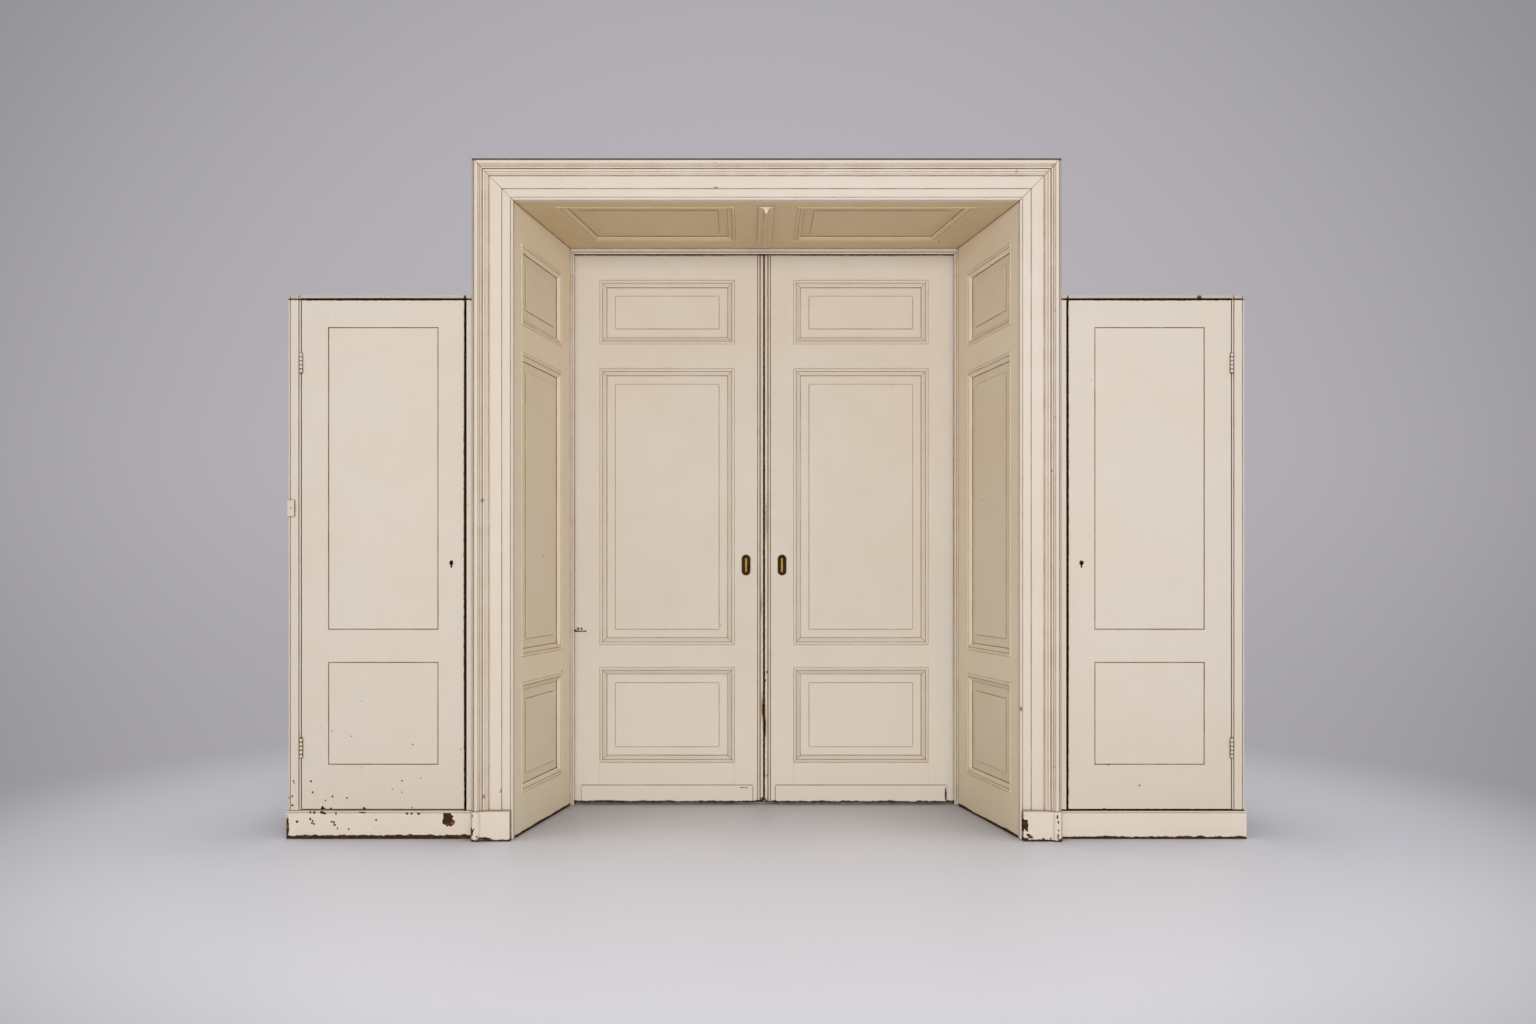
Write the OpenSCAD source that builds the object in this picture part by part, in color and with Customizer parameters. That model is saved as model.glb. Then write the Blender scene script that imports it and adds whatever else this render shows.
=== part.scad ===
// Room divider: a panelled niche with two sliding doors, between two cupboards.
// Lengths are millimetres. Depths count from the front of the plinth blocks, away from the viewer.
// The left half is drawn, and the right half is its mirror image.

/* [Niche] */
// Height of the soffit above the floor
soffit_h = 2387; // [2330:1:2500]
// Width between the reveals at the front
mouth_w = 1890; // [1830:1:1960]
// Width between the reveals at the back
throat_w = 1662; // [1610:1:1720]
// Depth of the reveals behind the wall face
niche_d = 587; // [540:1:680]
// Thickness of the reveal and soffit framing
lining_t = 26; // [25:0.5:30]
// Front stile of a reveal
reveal_front_stile = 63; // [60:1:80]
// Back stile of a reveal
reveal_back_stile = 101; // [85:1:115]
// Bottom rail of a reveal
reveal_bottom_rail = 156; // [120:1:190]
// Height of a reveal's lower panel
reveal_lower_panel = 421; // [360:1:480]
// Rail above a reveal's lower panel
reveal_lock_rail = 98; // [80:1:120]
// Rail below a reveal's upper panel
reveal_frieze_rail = 104; // [80:1:120]
// Height of a reveal's upper panel
reveal_upper_panel = 311; // [260:1:360]
// Top rail of a reveal
reveal_top_rail = 132; // [100:1:160]
// Front rail of the soffit
soffit_front_rail = 55; // [50:1:75]
// Back rail of the soffit
soffit_back_rail = 99; // [85:1:115]
// End stile of the soffit, along the reveal
soffit_end_stile = 132; // [100:1:160]
// Middle piece of the soffit
soffit_muntin = 240; // [200:1:280]
// Width of the keeled bar
keel_w = 58; // [48:1:80]
// Drop of the keeled bar
keel_drop = 28; // [20:1:36]

/* [Architrave] */
// Width of the architrave
architrave_w = 144; // [125:1:160]
// Thickness of the architrave
architrave_t = 50; // [44:1:56]
// Width of the nosing bead round the opening
nosing_w = 9; // [8:0.5:12]
// Depth of the nosing bead in front of the wall face
nosing_t = 28; // [24:1:34]
// Height of the plinth blocks
plinth_h = 109; // [107:1:130]
// Thickness of the plinth blocks
plinth_t = 58; // [57:1:66]

/* [Panels] */
// Width of the planted mouldings
mould_w = 28; // [25:0.5:34]
// Depth of the panel margin below the frame's face
margin_d = 13; // [12:0.5:14]
// Depth of the raised field below the frame's face
field_d = 6; // [5:0.5:7]
// Width of the bevel round the raised field
bevel_w = 40; // [34:1:46]

/* [Sliding leaves] */
// Thickness of a leaf
leaf_t = 40; // [38:0.5:44]
// Gap between the leaves
leaf_gap = 5; // [3:0.5:8]
// Gap under a leaf
leaf_floor_gap = 10; // [9.5:0.5:12]
// Meeting stile of a leaf
leaf_meeting_stile = 124.5; // [115:0.5:140]
// Outer stile of a leaf
leaf_outer_stile = 132.5; // [120:0.5:150]
// Bottom rail of a leaf
leaf_bottom_rail = 170; // [150:1:190]
// Height of a leaf's lower panel
leaf_lower_panel = 410; // [360:1:460]
// Rail above a leaf's lower panel
leaf_lock_rail = 97; // [80:1:115]
// Rail below a leaf's upper panel
leaf_frieze_rail = 105; // [85:1:120]
// Height of a leaf's upper panel
leaf_upper_panel = 275; // [230:1:320]
// Top rail of a leaf
leaf_top_rail = 142; // [130:1:160]
// Height of the kick board
kick_h = 72; // [50:1:90]
// Height of the pulls above the floor
pull_z = 1031; // [950:1:1100]
// Width of a pull
pull_w = 37; // [32:0.5:44]
// Height of a pull
pull_h = 88.5; // [75:0.5:110]
// Visible width of the stop bead in front of the leaves
stop_show = 15.5; // [12:0.5:20]
// Travel of a leaf into its pocket
leaf_travel = 700; // [600:1:700]

/* [Cupboards] */
// Height of a cupboard
cupboard_h = 2037; // [1960:1:2100]
// Width of a cupboard door
door_w = 611; // [560:1:660]
// Thickness of a cupboard door
door_t = 28; // [26:0.5:30]
// Height of a cupboard door's lower edge
door_z = 110; // [109:0.5:120]
// Stiles of a cupboard door
door_stile = 100; // [90:1:110]
// Bottom rail of a cupboard door
door_bottom_rail = 167; // [140:1:190]
// Height of a cupboard door's lower panel
door_lower_panel = 383; // [330:1:430]
// Rail between a cupboard door's panels
door_lock_rail = 124; // [100:1:140]
// Top rail of a cupboard door
door_top_rail = 103; // [90:1:120]
// Width of the inner stile beside the architrave
jamb_show = 27; // [24:1:36]
// Width of the outer casing stile
casing_w = 47; // [44:1:56]
// Height of the skirting boards
skirting_h = 103; // [92:1:105]
// Thickness of the skirting boards
skirting_t = 11; // [10:0.5:15]
// Shelves in each cupboard
shelf_count = 4; // [2:1:5]
// Length of a hinge
hinge_h = 76; // [65:1:90]

/* [Hidden] */
$fn = 48;

// Overrun of cuts
over = 1;
// Gap left between pieces that meet
fit = 0.2;
// Gap left between pieces that turn or slide on each other
run_fit = 0.05;
// Steps in a moulded curve
steps = 8;

// Colours
cream = "#e3d8c6";
cream_shade = "#cbbb9c";
bare_wood = "#a98458";
brass = "#8a6a34";
iron = "#5a5550";

// Depths of the main planes
wall_v = plinth_t;
niche_back_v = wall_v + niche_d;
stop_t = 8;
stop_bead_r = 3.5;
stop_quirk = 1.5;
leaf_play = 14;
kick_t = 8;
leaf_v = niche_back_v + stop_t + leaf_play + kick_t;
rear_play = 7;
rear_casing_v = leaf_v + leaf_t + rear_play;
rear_casing_t = 22;
overall_d = rear_casing_v + rear_casing_t;

// Splay of the reveals
splay = (mouth_w - throat_w) / 2;
reveal_w = norm([niche_d, splay]);
reveal_angle = atan2(niche_d, splay);
splay_share = splay / niche_d;
slant_share = reveal_w / niche_d;
reveal_skew = lining_t * splay_share;

// Heights and half widths of the portal
lining_top = soffit_h + lining_t;
architrave_in = mouth_w / 2 + nosing_w;
architrave_out = architrave_in + architrave_w;
architrave_top = soffit_h + nosing_w + architrave_w;

// Joinery
groove_d = 12;
groove_lip = 4;
tenon_l = 38;
tenon_haunch = 20;
bevel_rise = 3;
edge_line = 3.5;
mitre_reach_share = 0.2;

// Stop bead and leaves
stop_in = throat_w / 2 - stop_show;
stop_drop = 23;
stop_cover = lining_t + edge_line;
stop_z = soffit_h - stop_drop;
leaf_overlap = 25;
leaf_head_lap = 36;
leaf_x = -stop_in - leaf_overlap;
leaf_w = stop_in + leaf_overlap - leaf_gap / 2;
leaf_h = stop_z + leaf_head_lap - leaf_floor_gap;
leaf_groove_w = leaf_t - 2 * margin_d;
meeting_bead_r = 7;
meeting_small_r = 4.5;
bead_quirk = 2;
cover_w = 30;
cover_t = 5;
cover_r = 2;
cover_play = 0.3;
kick_inset = 50;
kick_end = 55;
kick_round = 3;
pull_inset = 75;

// Running gear
rail_w = 8;
rail_h = 9;
wheel_tread_r = 25;
wheel_flange_r = 30;
wheel_flange_t = 4;
wheel_groove_play = 2;
wheel_flank = 1;
wheel_groove_w = rail_w + wheel_groove_play;
wheel_w = wheel_groove_w + 2 * wheel_flange_t;
wheel_gap = 0.3;
wheel_z = rail_h + wheel_gap + wheel_tread_r;
axle_r = 4;
gear_play = 0.75;
gear_sheet = 2.5;
gear_w = wheel_w + 2 * gear_play + 2 * gear_sheet;
gear_l = 70;
gear_top = wheel_z + wheel_flange_r + gear_sheet + gear_sheet;
wheel_inset = 70;
outer_wheel_x = leaf_x + leaf_outer_stile + wheel_inset;
inner_wheel_x = -leaf_gap / 2 - leaf_meeting_stile - wheel_inset;
wheel_v = leaf_v + leaf_t / 2;
guide_r = 5;
guide_rise = 30;
guide_sink = 40;
guide_groove_w = 14;
guide_groove_h = 24;
guide_inset = 60;
buffer_w = 55;
buffer_h = 60;
buffer_gap = 5;
buffer_x = leaf_x - leaf_travel - buffer_gap;

// Framing behind the linings
post_w = 55;
post_d = 50;
post_inset = 4;
lintel_h = 67;
lintel_overhang = 240;
front_lintel_d = 55;
rear_lintel_lap = 55;
rear_casing_w = 105;

// Cupboards
frame_t = 32;
door_set = 2;
door_v = wall_v + door_set;
frame_back_v = wall_v + frame_t;
stile_lap = 23;
jamb_out = architrave_out + jamb_show;
door_gap = 8;
hinge_gap = 3;
door_in = jamb_out + door_gap;
door_out = door_in + door_w;
casing_in = door_out + hinge_gap;
casing_out = casing_in + casing_w;
head_gap = 7;
head_h = 10;
door_h = cupboard_h - head_h - head_gap - door_z;
sill_gap = 4;
sill_top = door_z - sill_gap;
skirting_overhang = 3;
skirting_bead_r = 2.75;
skirting_quirk = 1;
casing_bead_r = 3.5;
door_groove_v = 9;
door_groove_w = 10;
board_t = 18;
back_board_t = 16;
back_board_count = 6;
ledger_t = 14;
ledger_h = 80;
carcass_back_v = niche_back_v - ledger_t;
stop_lip = 7;
floor_t = 20;
top_t = 24;
shelf_t = 22;
shelf_set = 24;
cleat = 24;
carcass_in = lining_t + post_d + fit;
side_in = casing_out - board_t;
floor_top = door_z + stop_lip;
top_under = cupboard_h - top_t;

// Hinges
hinge_leaf_t = 1.3;
hinge_leaf_d = 26;
knuckle_r = 5;
knuckle_count = 5;
pin_r = 2.4;
hinge_play = 0.3;
hinge_x = door_out + hinge_gap / 2;
hinge_v = door_v - knuckle_r;
hinge_top_drop = 237;
hinge_bottom_rise = 229;
hinge_heights = [door_z + hinge_bottom_rise, door_z + door_h - hinge_top_drop];
knuckle_h = hinge_h / knuckle_count;

// Lock
key_z = pull_z;
key_x = door_in + door_stile / 2;
key_r = 6;
key_slot_w = 6.5;
key_slot_h = 15.5;
lock_w = 78;
lock_h = 96;
lock_t = 18;
lock_edge = 3;
lock_v = door_v + door_t;
bolt_l = 46;
bolt_h = 24;
bolt_t = 8;
bolt_rise = 16;
bolt_set = 5;
bolt_travel = 16;
keep_w = 24;
keep_wall = 5;
keep_mouth = 18;

// Plate on the left casing
plate_w = 24;
plate_h = 60;
plate_t = 8;
plate_z = 1238;
plate_hole_r = 2.2;

// Keeled bar of the soffit
keel_base_t = 5;
keel_tip_r = 5;
keel_overlap = 13;

// Small geometry
function unit(v) = v / norm(v);
function left_of(v) = [-v.y, v.x];
function rect(x0, y0, x1, y1) = [[x0, y0], [x1, y0], [x1, y1], [x0, y1]];
function arc(c, r, a0, a1) = [for (i = [0 : steps]) c + r * [cos(a0 + (a1 - a0) * i / steps),
    sin(a0 + (a1 - a0) * i / steps)]];
// An S-curve from p to q that leaves and arrives level
function ogee(p, q) = [for (i = [0 : steps]) [p.x + (q.x - p.x) * i / steps,
    p.y + (q.y - p.y) * (1 - cos(180 * i / steps)) / 2]];
// A hollow from p to q that leaves level and arrives steep
function hollow(p, q) = [for (i = [0 : steps]) [p.x + (q.x - p.x) * sin(90 * i / steps),
    p.y + (q.y - p.y) * (1 - cos(90 * i / steps))]];
// A convex outline, counter-clockwise, moved inward by d
function inset(pts, d) = let (n = len(pts)) [for (i = [0 : n - 1])
    let (a = left_of(unit(pts[i] - pts[(i + n - 1) % n])), b = left_of(unit(pts[(i + 1) % n] - pts[i])))
    pts[i] + d * (a + b) / (1 + a * b)];

// Panels that stand above one another in a frame, as lower and upper edges
function three_tiers(h, bottom, lower, lock, frieze, upper, top) = [[bottom, bottom + lower],
    [bottom + lower + lock, h - top - upper - frieze], [h - top - upper, h - top]];
// Rails of that frame, as lower and upper edges
function rail_bands(h, tiers) = [for (i = [0 : len(tiers)]) [i == 0 ? 0 : tiers[i - 1][1],
    i == len(tiers) ? h : tiers[i][0]]];

reveal_tiers = three_tiers(soffit_h, reveal_bottom_rail, reveal_lower_panel, reveal_lock_rail,
    reveal_frieze_rail, reveal_upper_panel, reveal_top_rail);
leaf_tiers = three_tiers(leaf_h, leaf_bottom_rail, leaf_lower_panel, leaf_lock_rail,
    leaf_frieze_rail, leaf_upper_panel, leaf_top_rail);
door_tiers = [[door_bottom_rail, door_bottom_rail + door_lower_panel],
    [door_bottom_rail + door_lower_panel + door_lock_rail, door_h - door_top_rail]];

// Planted moulding from the frame's edge to the panel: flat bead, quirk, ogee and a step
mould_bead_share = 0.43;
mould_rise_share = 0.12;
mould_drop_share = 0.62;
mould_quirk = 1.6;
mould_bead_w = mould_w * mould_bead_share;
mould_rise = mould_w * mould_rise_share;
mould_bead_r = (pow(mould_bead_w / 2, 2) + pow(mould_rise, 2)) / (2 * mould_rise);
mould_bead_turn = asin(mould_bead_w / 2 / mould_bead_r);
mould_drop = margin_d * mould_drop_share;
mould_profile = concat(
    [[0, -margin_d]],
    arc([mould_bead_w / 2, mould_rise - mould_bead_r], mould_bead_r,
        90 + mould_bead_turn, 90 - mould_bead_turn),
    [[mould_bead_w, -mould_quirk]],
    ogee([mould_bead_w + mould_quirk, 0], [mould_w, -mould_drop]),
    [[mould_w, -margin_d]]
);

// Architrave from its outer edge to the nosing: sloping edge, large bead, hollow, ledge, small bead,
// hollow, ledge, two fasciae and a hollow
edge_share = 0.06;
edge_x = edge_share * architrave_w;
band_share = 0.18;
band_x = band_share * architrave_w;
ledge_share = 0.215;
ledge_x = ledge_share * architrave_w;
bead_in_share = 0.262;
bead_in_x = bead_in_share * architrave_w;
bead_share = 0.345;
bead_x = bead_share * architrave_w;
cove_share = 0.395;
cove_x = cove_share * architrave_w;
fillet_share = 0.425;
fillet_x = fillet_share * architrave_w;
fascia_share = 0.75;
fascia_x = fascia_share * architrave_w;
second_share = 0.89;
second_x = second_share * architrave_w;
foot_level_share = 0.62;
foot_level = foot_level_share * architrave_t;
edge_level_share = 0.9;
edge_level = edge_level_share * architrave_t;
ledge_level_share = 0.74;
ledge_level = ledge_level_share * architrave_t;
bead_level_share = 0.64;
bead_level = bead_level_share * architrave_t;
fillet_level_share = 0.57;
fillet_level = fillet_level_share * architrave_t;
fascia_level_share = 0.46;
fascia_level = fascia_level_share * architrave_t;
second_level_share = 0.39;
second_level = second_level_share * architrave_t;
inner_level_share = 0.32;
inner_level = inner_level_share * architrave_t;
band_r = (band_x - edge_x - bead_quirk) / 2;
band_level = architrave_t - band_r;
architrave_bead_r = (bead_x - bead_in_x - bead_quirk) / 2;
architrave_profile = concat(
    [[0, 0], [0, foot_level], [edge_x, edge_level]],
    arc([band_x - band_r, band_level], band_r, 180, 0),
    hollow([band_x + bead_quirk, band_level], [ledge_x, ledge_level]),
    [[bead_in_x, ledge_level]],
    arc([bead_x - architrave_bead_r, bead_level], architrave_bead_r, 180, 0),
    hollow([bead_x + bead_quirk, bead_level], [cove_x, fillet_level]),
    [[fillet_x, fillet_level], [fillet_x, fascia_level]],
    [[fascia_x, fascia_level], [fascia_x, second_level]],
    hollow([second_x, second_level], [architrave_w, inner_level]),
    [[architrave_w, 0]]
);

// Nosing bead from the architrave to the opening
nosing_r = nosing_w / 2;
nosing_profile = concat([[0, 0]], arc([nosing_r, nosing_t - nosing_r], nosing_r, 180, 0), [[nosing_w, 0]]);

// A plain board with a quirk and a bead along its inner front edge
function beaded_profile(w, t, r, quirk) = concat(
    [[0, 0], [0, t], [w - 2 * r - quirk, t], [w - 2 * r - quirk, t - r]],
    arc([w - r, t - r], r, 180, 0),
    [[w, 0]]
);

// Puts depths that count from the front about the middle of the object
module placed() {
    translate([0, -overall_d / 2, 0]) children();
}

// Turns an outline drawn on the floor to face the viewer at a depth
module facing(v) {
    translate([0, v, 0]) rotate([90, 0, 0]) children();
}

module both_sides() {
    children();
    mirror([1, 0, 0]) children();
}

// Outlines of the larger losses, across and up from a point on the piece that they are cut in
loss_d = 2;
edge_loss_d = 6;
skirting_loss = [[-15, 0], [14, 0], [15, -5], [24, -11.5], [18.5, -21], [31, -30], [26, -42], [13, -51],
    [6.5, -46.5], [0.5, -51], [-5.5, -44.5], [-18, -39.5], [-18, -26], [-14.5, -20]];
skirting_loss_x = 97;
corner_loss = [[-8, 12.5], [-2, 14], [-0.5, 7], [4, 12.5], [9, 12.5], [3, 1.5], [1.5, -10], [-2, -13.5],
    [-7, -4]];
corner_loss_z = 36;
tall_loss = [[-1, 22], [13.5, 22], [14, 11], [16.5, 0.5], [14, -9.5], [15.5, -22], [8.5, -21.5], [-1, -9.5]];
tall_loss_z = 59;
low_loss = [[7, 9], [19, 8.5], [34.5, -3], [30.5, -8], [19, -8.5], [12, 0]];
low_loss_z = 20;
wide_door_loss = [[-9.5, -1], [-2.5, 13], [4, 6.5], [9.5, 1], [9.5, -1]];
wide_door_loss_x = 79;
small_door_loss = [[-5, -1], [-1, 6.5], [3, 4], [5, 1], [5, -1]];
small_door_loss_x = 109;
leaf_crack = [[-20, 3.5], [-3, 9], [9, 4], [25, 2.5], [40, 2.5], [50, 3.5], [52, 0], [48, -3.5], [30, -2.5],
    [10, -3.5], [-20, -4]];
leaf_crack_z = 746;

// A shallow loss in a front face at depth v
module loss(x, v, z, outline, depth) {
    translate([x, v, z]) rotate([90, 0, 0]) translate([0, 0, -depth])
        linear_extrude(depth + over) polygon(outline);
}

// A profile run along the line from p to q, with its first axis to the left
module run(p, q, profile, beyond) {
    d = q - p;
    translate(concat(p, [0])) rotate([0, 0, atan2(d.y, d.x)]) rotate([90, 0, 90]) translate([0, 0, -beyond])
        linear_extrude(norm(d) + 2 * beyond) polygon(profile);
}

// A run cut at both ends on the lines from p to its inner corner and from q to its inner corner
module mitred_run(p, q, q_in, p_in, profile, depth) {
    e = unit(q - p) * fit / 2;
    a = p + e;
    b = q - e;
    a_reach = (p_in - p) * mitre_reach_share;
    b_reach = (q_in - q) * mitre_reach_share;
    intersection() {
        run(p, q, profile, 0);
        translate([0, 0, -depth]) linear_extrude(2 * depth)
            polygon([a - a_reach, b - b_reach, q_in - e + b_reach, p_in + e + a_reach]);
    }
}

// Mitred bars inside an outline
module mitred_ring(pts, profile, w, depth) {
    inner = inset(pts, w);
    n = len(pts);
    for (i = [0 : n - 1]) {
        j = (i + 1) % n;
        mitred_run(pts[i], pts[j], inner[j], inner[i], profile, depth);
    }
}

// A field bounded by one profile along every side of an outline
module fielded(pts, profile) {
    n = len(pts);
    intersection_for (i = [0 : n - 1]) {
        run(pts[i], pts[(i + 1) % n], profile, mouth_w);
    }
}

// Profile of a raised field that stands on a core with its face at depth core
function field_profile(core) = [[mould_w, -core - over], [mould_w, -core],
    [mould_w + bevel_w, bevel_rise - core], [mould_w + bevel_w, -field_d],
    [mouth_w, -field_d], [mouth_w, -core - over]];

// Plates that reach into the grooves of a frame
module panel_plates(x0, x1, tiers, v, t, reach) {
    for (tier = tiers) {
        translate([x0 - reach, v, tier[0] - reach])
            cube([x1 - x0 + 2 * reach, t, tier[1] - tier[0] + 2 * reach]);
    }
}

// Tenons of all rails, each as one bar between the ends of its two tenons
module tenon_bar(x0, x1, band, v, t, grow) {
    reach = tenon_l + grow;
    low = band[0] + tenon_haunch - grow;
    high = band[1] - tenon_haunch + grow;
    translate([x0 - reach, v - grow, low]) cube([x1 - x0 + 2 * reach, t + 2 * grow, high - low]);
}

// Sections of a frame's two stiles, with the frame's outer edges leaning back by a skew
function first_stile(t, s0, skew) = [[0, 0], [s0, 0], [s0, t], [-skew, t]];
function last_stile(w, t, s1, skew) = [[w - s1, 0], [w, 0], [w - skew, t], [w - s1, t]];

// One stile cut for the rails and panels of a frame that stands on the floor line
module stile(section, w, h, s0, s1, tiers, v, groove_w) {
    difference() {
        linear_extrude(h) polygon(section);
        stile_cuts(w, h, s0, s1, tiers, v, groove_w);
    }
}

module stiles(w, h, t, s0, s1, tiers, v, groove_w, skew) {
    stile(first_stile(t, s0, skew), w, h, s0, s1, tiers, v, groove_w);
    stile(last_stile(w, t, s1, skew), w, h, s0, s1, tiers, v, groove_w);
}

// Grooves and mortises of a frame's stiles
module stile_cuts(w, h, s0, s1, tiers, v, groove_w) {
    panel_plates(s0, w - s1, tiers, v, groove_w, groove_d);
    for (band = rail_bands(h, tiers)) {
        tenon_bar(s0, w - s1, band, v, groove_w, fit);
    }
}

// Rails with stub tenons and panel grooves
module rails(w, h, t, s0, s1, tiers, v, groove_w) {
    for (band = rail_bands(h, tiers)) {
        difference() {
            union() {
                translate([s0 + fit, 0, band[0]]) cube([w - s0 - s1 - 2 * fit, t, band[1] - band[0]]);
                tenon_bar(s0, w - s1, band, v, groove_w, 0);
            }
            panel_plates(s0, w - s1, tiers, v, groove_w, groove_d);
        }
    }
}

// Outline of a panel's opening, seen from the front
function tier_outline(w, s0, s1, tier) = rect(s0 + fit, tier[0] + fit, w - s1 - fit, tier[1] - fit);

// Mitred mouldings round every panel of a frame
module tier_mouldings(w, s0, s1, tiers) {
    for (tier = tiers) {
        facing(0) mitred_ring(tier_outline(w, s0, s1, tier), mould_profile, mould_w, leaf_t);
    }
}

// Puts a reveal's frame on the left side of the niche
module at_left_reveal() {
    translate([-mouth_w / 2, wall_v, 0]) rotate([0, 0, reveal_angle]) children();
}

lining_groove_w = lining_t - margin_d - groove_lip;

module reveal_frame() {
    at_left_reveal() {
        stiles(reveal_w, soffit_h, lining_t, reveal_front_stile, reveal_back_stile, reveal_tiers,
            margin_d, lining_groove_w, reveal_skew);
        rails(reveal_w, soffit_h, lining_t, reveal_front_stile, reveal_back_stile, reveal_tiers,
            margin_d, lining_groove_w);
    }
}

module reveal_panels() {
    at_left_reveal() for (tier = reveal_tiers) {
        union() {
            panel_plates(reveal_front_stile, reveal_w - reveal_back_stile, [tier], margin_d + fit,
                lining_groove_w - 2 * fit, groove_d - fit);
            facing(0) fielded(tier_outline(reveal_w, reveal_front_stile, reveal_back_stile, tier),
                field_profile(margin_d + fit));
        }
    }
}

module reveal_mouldings() {
    at_left_reveal() tier_mouldings(reveal_w, reveal_front_stile, reveal_back_stile, reveal_tiers);
}

module left_reveal_frame() {
    color(cream_shade) placed() reveal_frame();
}

module left_reveal_panels() {
    color(cream_shade) placed() reveal_panels();
}

module left_reveal_mouldings() {
    color(cream_shade) placed() reveal_mouldings();
}

module right_reveal_frame() {
    color(cream_shade) placed() mirror([1, 0, 0]) reveal_frame();
}

module right_reveal_panels() {
    color(cream_shade) placed() mirror([1, 0, 0]) reveal_panels();
}

module right_reveal_mouldings() {
    color(cream_shade) placed() mirror([1, 0, 0]) reveal_mouldings();
}

// Half width of the niche at a depth, moved outward by a distance square to the reveal
function reveal_x(v, out) = mouth_w / 2 - (v - wall_v) * splay_share + out * slant_share;

panel_front_v = wall_v + soffit_front_rail;
panel_back_v = niche_back_v - soffit_back_rail;
// Half width of the soffit panels at a depth
function panel_x(v) = reveal_x(v, 0) - soffit_end_stile;
// Outline of the left soffit panel, seen from above, moved out by a reach
function soffit_outline(reach) = inset([[-panel_x(panel_front_v), panel_front_v],
    [-soffit_muntin / 2, panel_front_v], [-soffit_muntin / 2, panel_back_v],
    [-panel_x(panel_back_v), panel_back_v]], -reach);

// A strip of the soffit from one depth to another, over the whole width
function soffit_strip(v0, v1) = [[-reveal_x(v0, lining_t), v0], [reveal_x(v0, lining_t), v0],
    [reveal_x(v1, lining_t), v1], [-reveal_x(v1, lining_t), v1]];

module soffit_grooves() {
    both_sides() translate([0, 0, soffit_h + margin_d]) linear_extrude(lining_groove_w)
        polygon(soffit_outline(groove_d));
}

module soffit_pieces() {
    end_in = panel_front_v + fit;
    end_out = panel_back_v - fit;
    linear_extrude(lining_t) polygon(soffit_strip(wall_v, panel_front_v));
    linear_extrude(lining_t) polygon(soffit_strip(panel_back_v, niche_back_v));
    linear_extrude(lining_t) polygon(rect(-soffit_muntin / 2, end_in, soffit_muntin / 2, end_out));
    both_sides() linear_extrude(lining_t) polygon([[-reveal_x(end_in, lining_t), end_in],
        [-panel_x(end_in), end_in], [-panel_x(end_out), end_out], [-reveal_x(end_out, lining_t), end_out]]);
}

module soffit_frame() {
    color(cream_shade) placed() difference() {
        translate([0, 0, soffit_h + fit]) soffit_pieces();
        soffit_grooves();
    }
}

// Turns an outline seen from above to hang below the soffit
module hanging() {
    translate([0, 0, soffit_h + fit]) mirror([0, 0, 1]) children();
}

module soffit_panels() {
    color(cream_shade) placed() both_sides() union() {
        translate([0, 0, soffit_h + margin_d + fit]) linear_extrude(lining_groove_w - 2 * fit)
            polygon(soffit_outline(groove_d - fit));
        hanging() fielded(soffit_outline(-fit), field_profile(margin_d));
    }
}

module soffit_mouldings() {
    color(cream_shade) placed() both_sides() hanging()
        mitred_ring(soffit_outline(-fit), mould_profile, mould_w, leaf_t);
}

// Section of the keeled bar, from its flat back to its rounded tip
keel_half = keel_w / 2;
keel_shoulder_share = 0.8;
keel_section_half = hollow([keel_half * keel_shoulder_share, keel_base_t],
    [keel_tip_r, keel_drop - keel_tip_r]);
keel_section = concat([[keel_half, 0], [keel_half, keel_base_t]], keel_section_half,
    arc([0, keel_drop - keel_tip_r], keel_tip_r, 0, 180),
    [for (i = [0 : steps]) [-keel_section_half[steps - i].x, keel_section_half[steps - i].y]],
    [[-keel_half, keel_base_t], [-keel_half, 0]]);

module soffit_keel() {
    color(cream_shade) placed() translate([0, panel_back_v, soffit_h]) rotate([90, 0, 0]) mirror([0, 1, 0])
        translate([0, 0, -edge_line]) linear_extrude(panel_back_v - panel_front_v + keel_overlap)
        polygon(keel_section);
}

module architrave_leg() {
    facing(wall_v) mitred_run([-architrave_out, architrave_top], [-architrave_out, plinth_h + fit],
        [-architrave_in, plinth_h + fit], [-architrave_in, architrave_top - architrave_w],
        architrave_profile, architrave_t + over);
}

module architrave_left_leg() {
    color(cream) placed() architrave_leg();
}

module architrave_right_leg() {
    color(cream) placed() mirror([1, 0, 0]) architrave_leg();
}

module architrave_head() {
    color(cream) placed() facing(wall_v)
        mitred_run([architrave_out, architrave_top], [-architrave_out, architrave_top],
        [-architrave_in, architrave_top - architrave_w], [architrave_in, architrave_top - architrave_w],
        architrave_profile, architrave_t + over);
}

// A plinth block with a sloping outer edge and a prouder band beside it
plinth_band_share = 0.2;
plinth_set = 6;
plinth_slope = 14;

module plinth_block() {
    band = architrave_w * plinth_band_share;
    linear_extrude(plinth_h) polygon([[-architrave_out, wall_v], [-architrave_out, plinth_slope],
        [-architrave_out + edge_x, 0], [-architrave_out + band, 0],
        [-architrave_out + band + plinth_set, plinth_set],
        [-architrave_in - fit, plinth_set], [-architrave_in - fit, wall_v]]);
}

module plinth_blocks() {
    color(cream) placed() {
        difference() {
            plinth_block();
            loss(-architrave_out + edge_x, 0, corner_loss_z, corner_loss, edge_loss_d);
        }
        difference() {
            mirror([1, 0, 0]) plinth_block();
            loss(architrave_in, plinth_set, tall_loss_z, tall_loss, loss_d);
            loss(architrave_in, plinth_set, low_loss_z, low_loss, loss_d);
        }
    }
}

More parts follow.
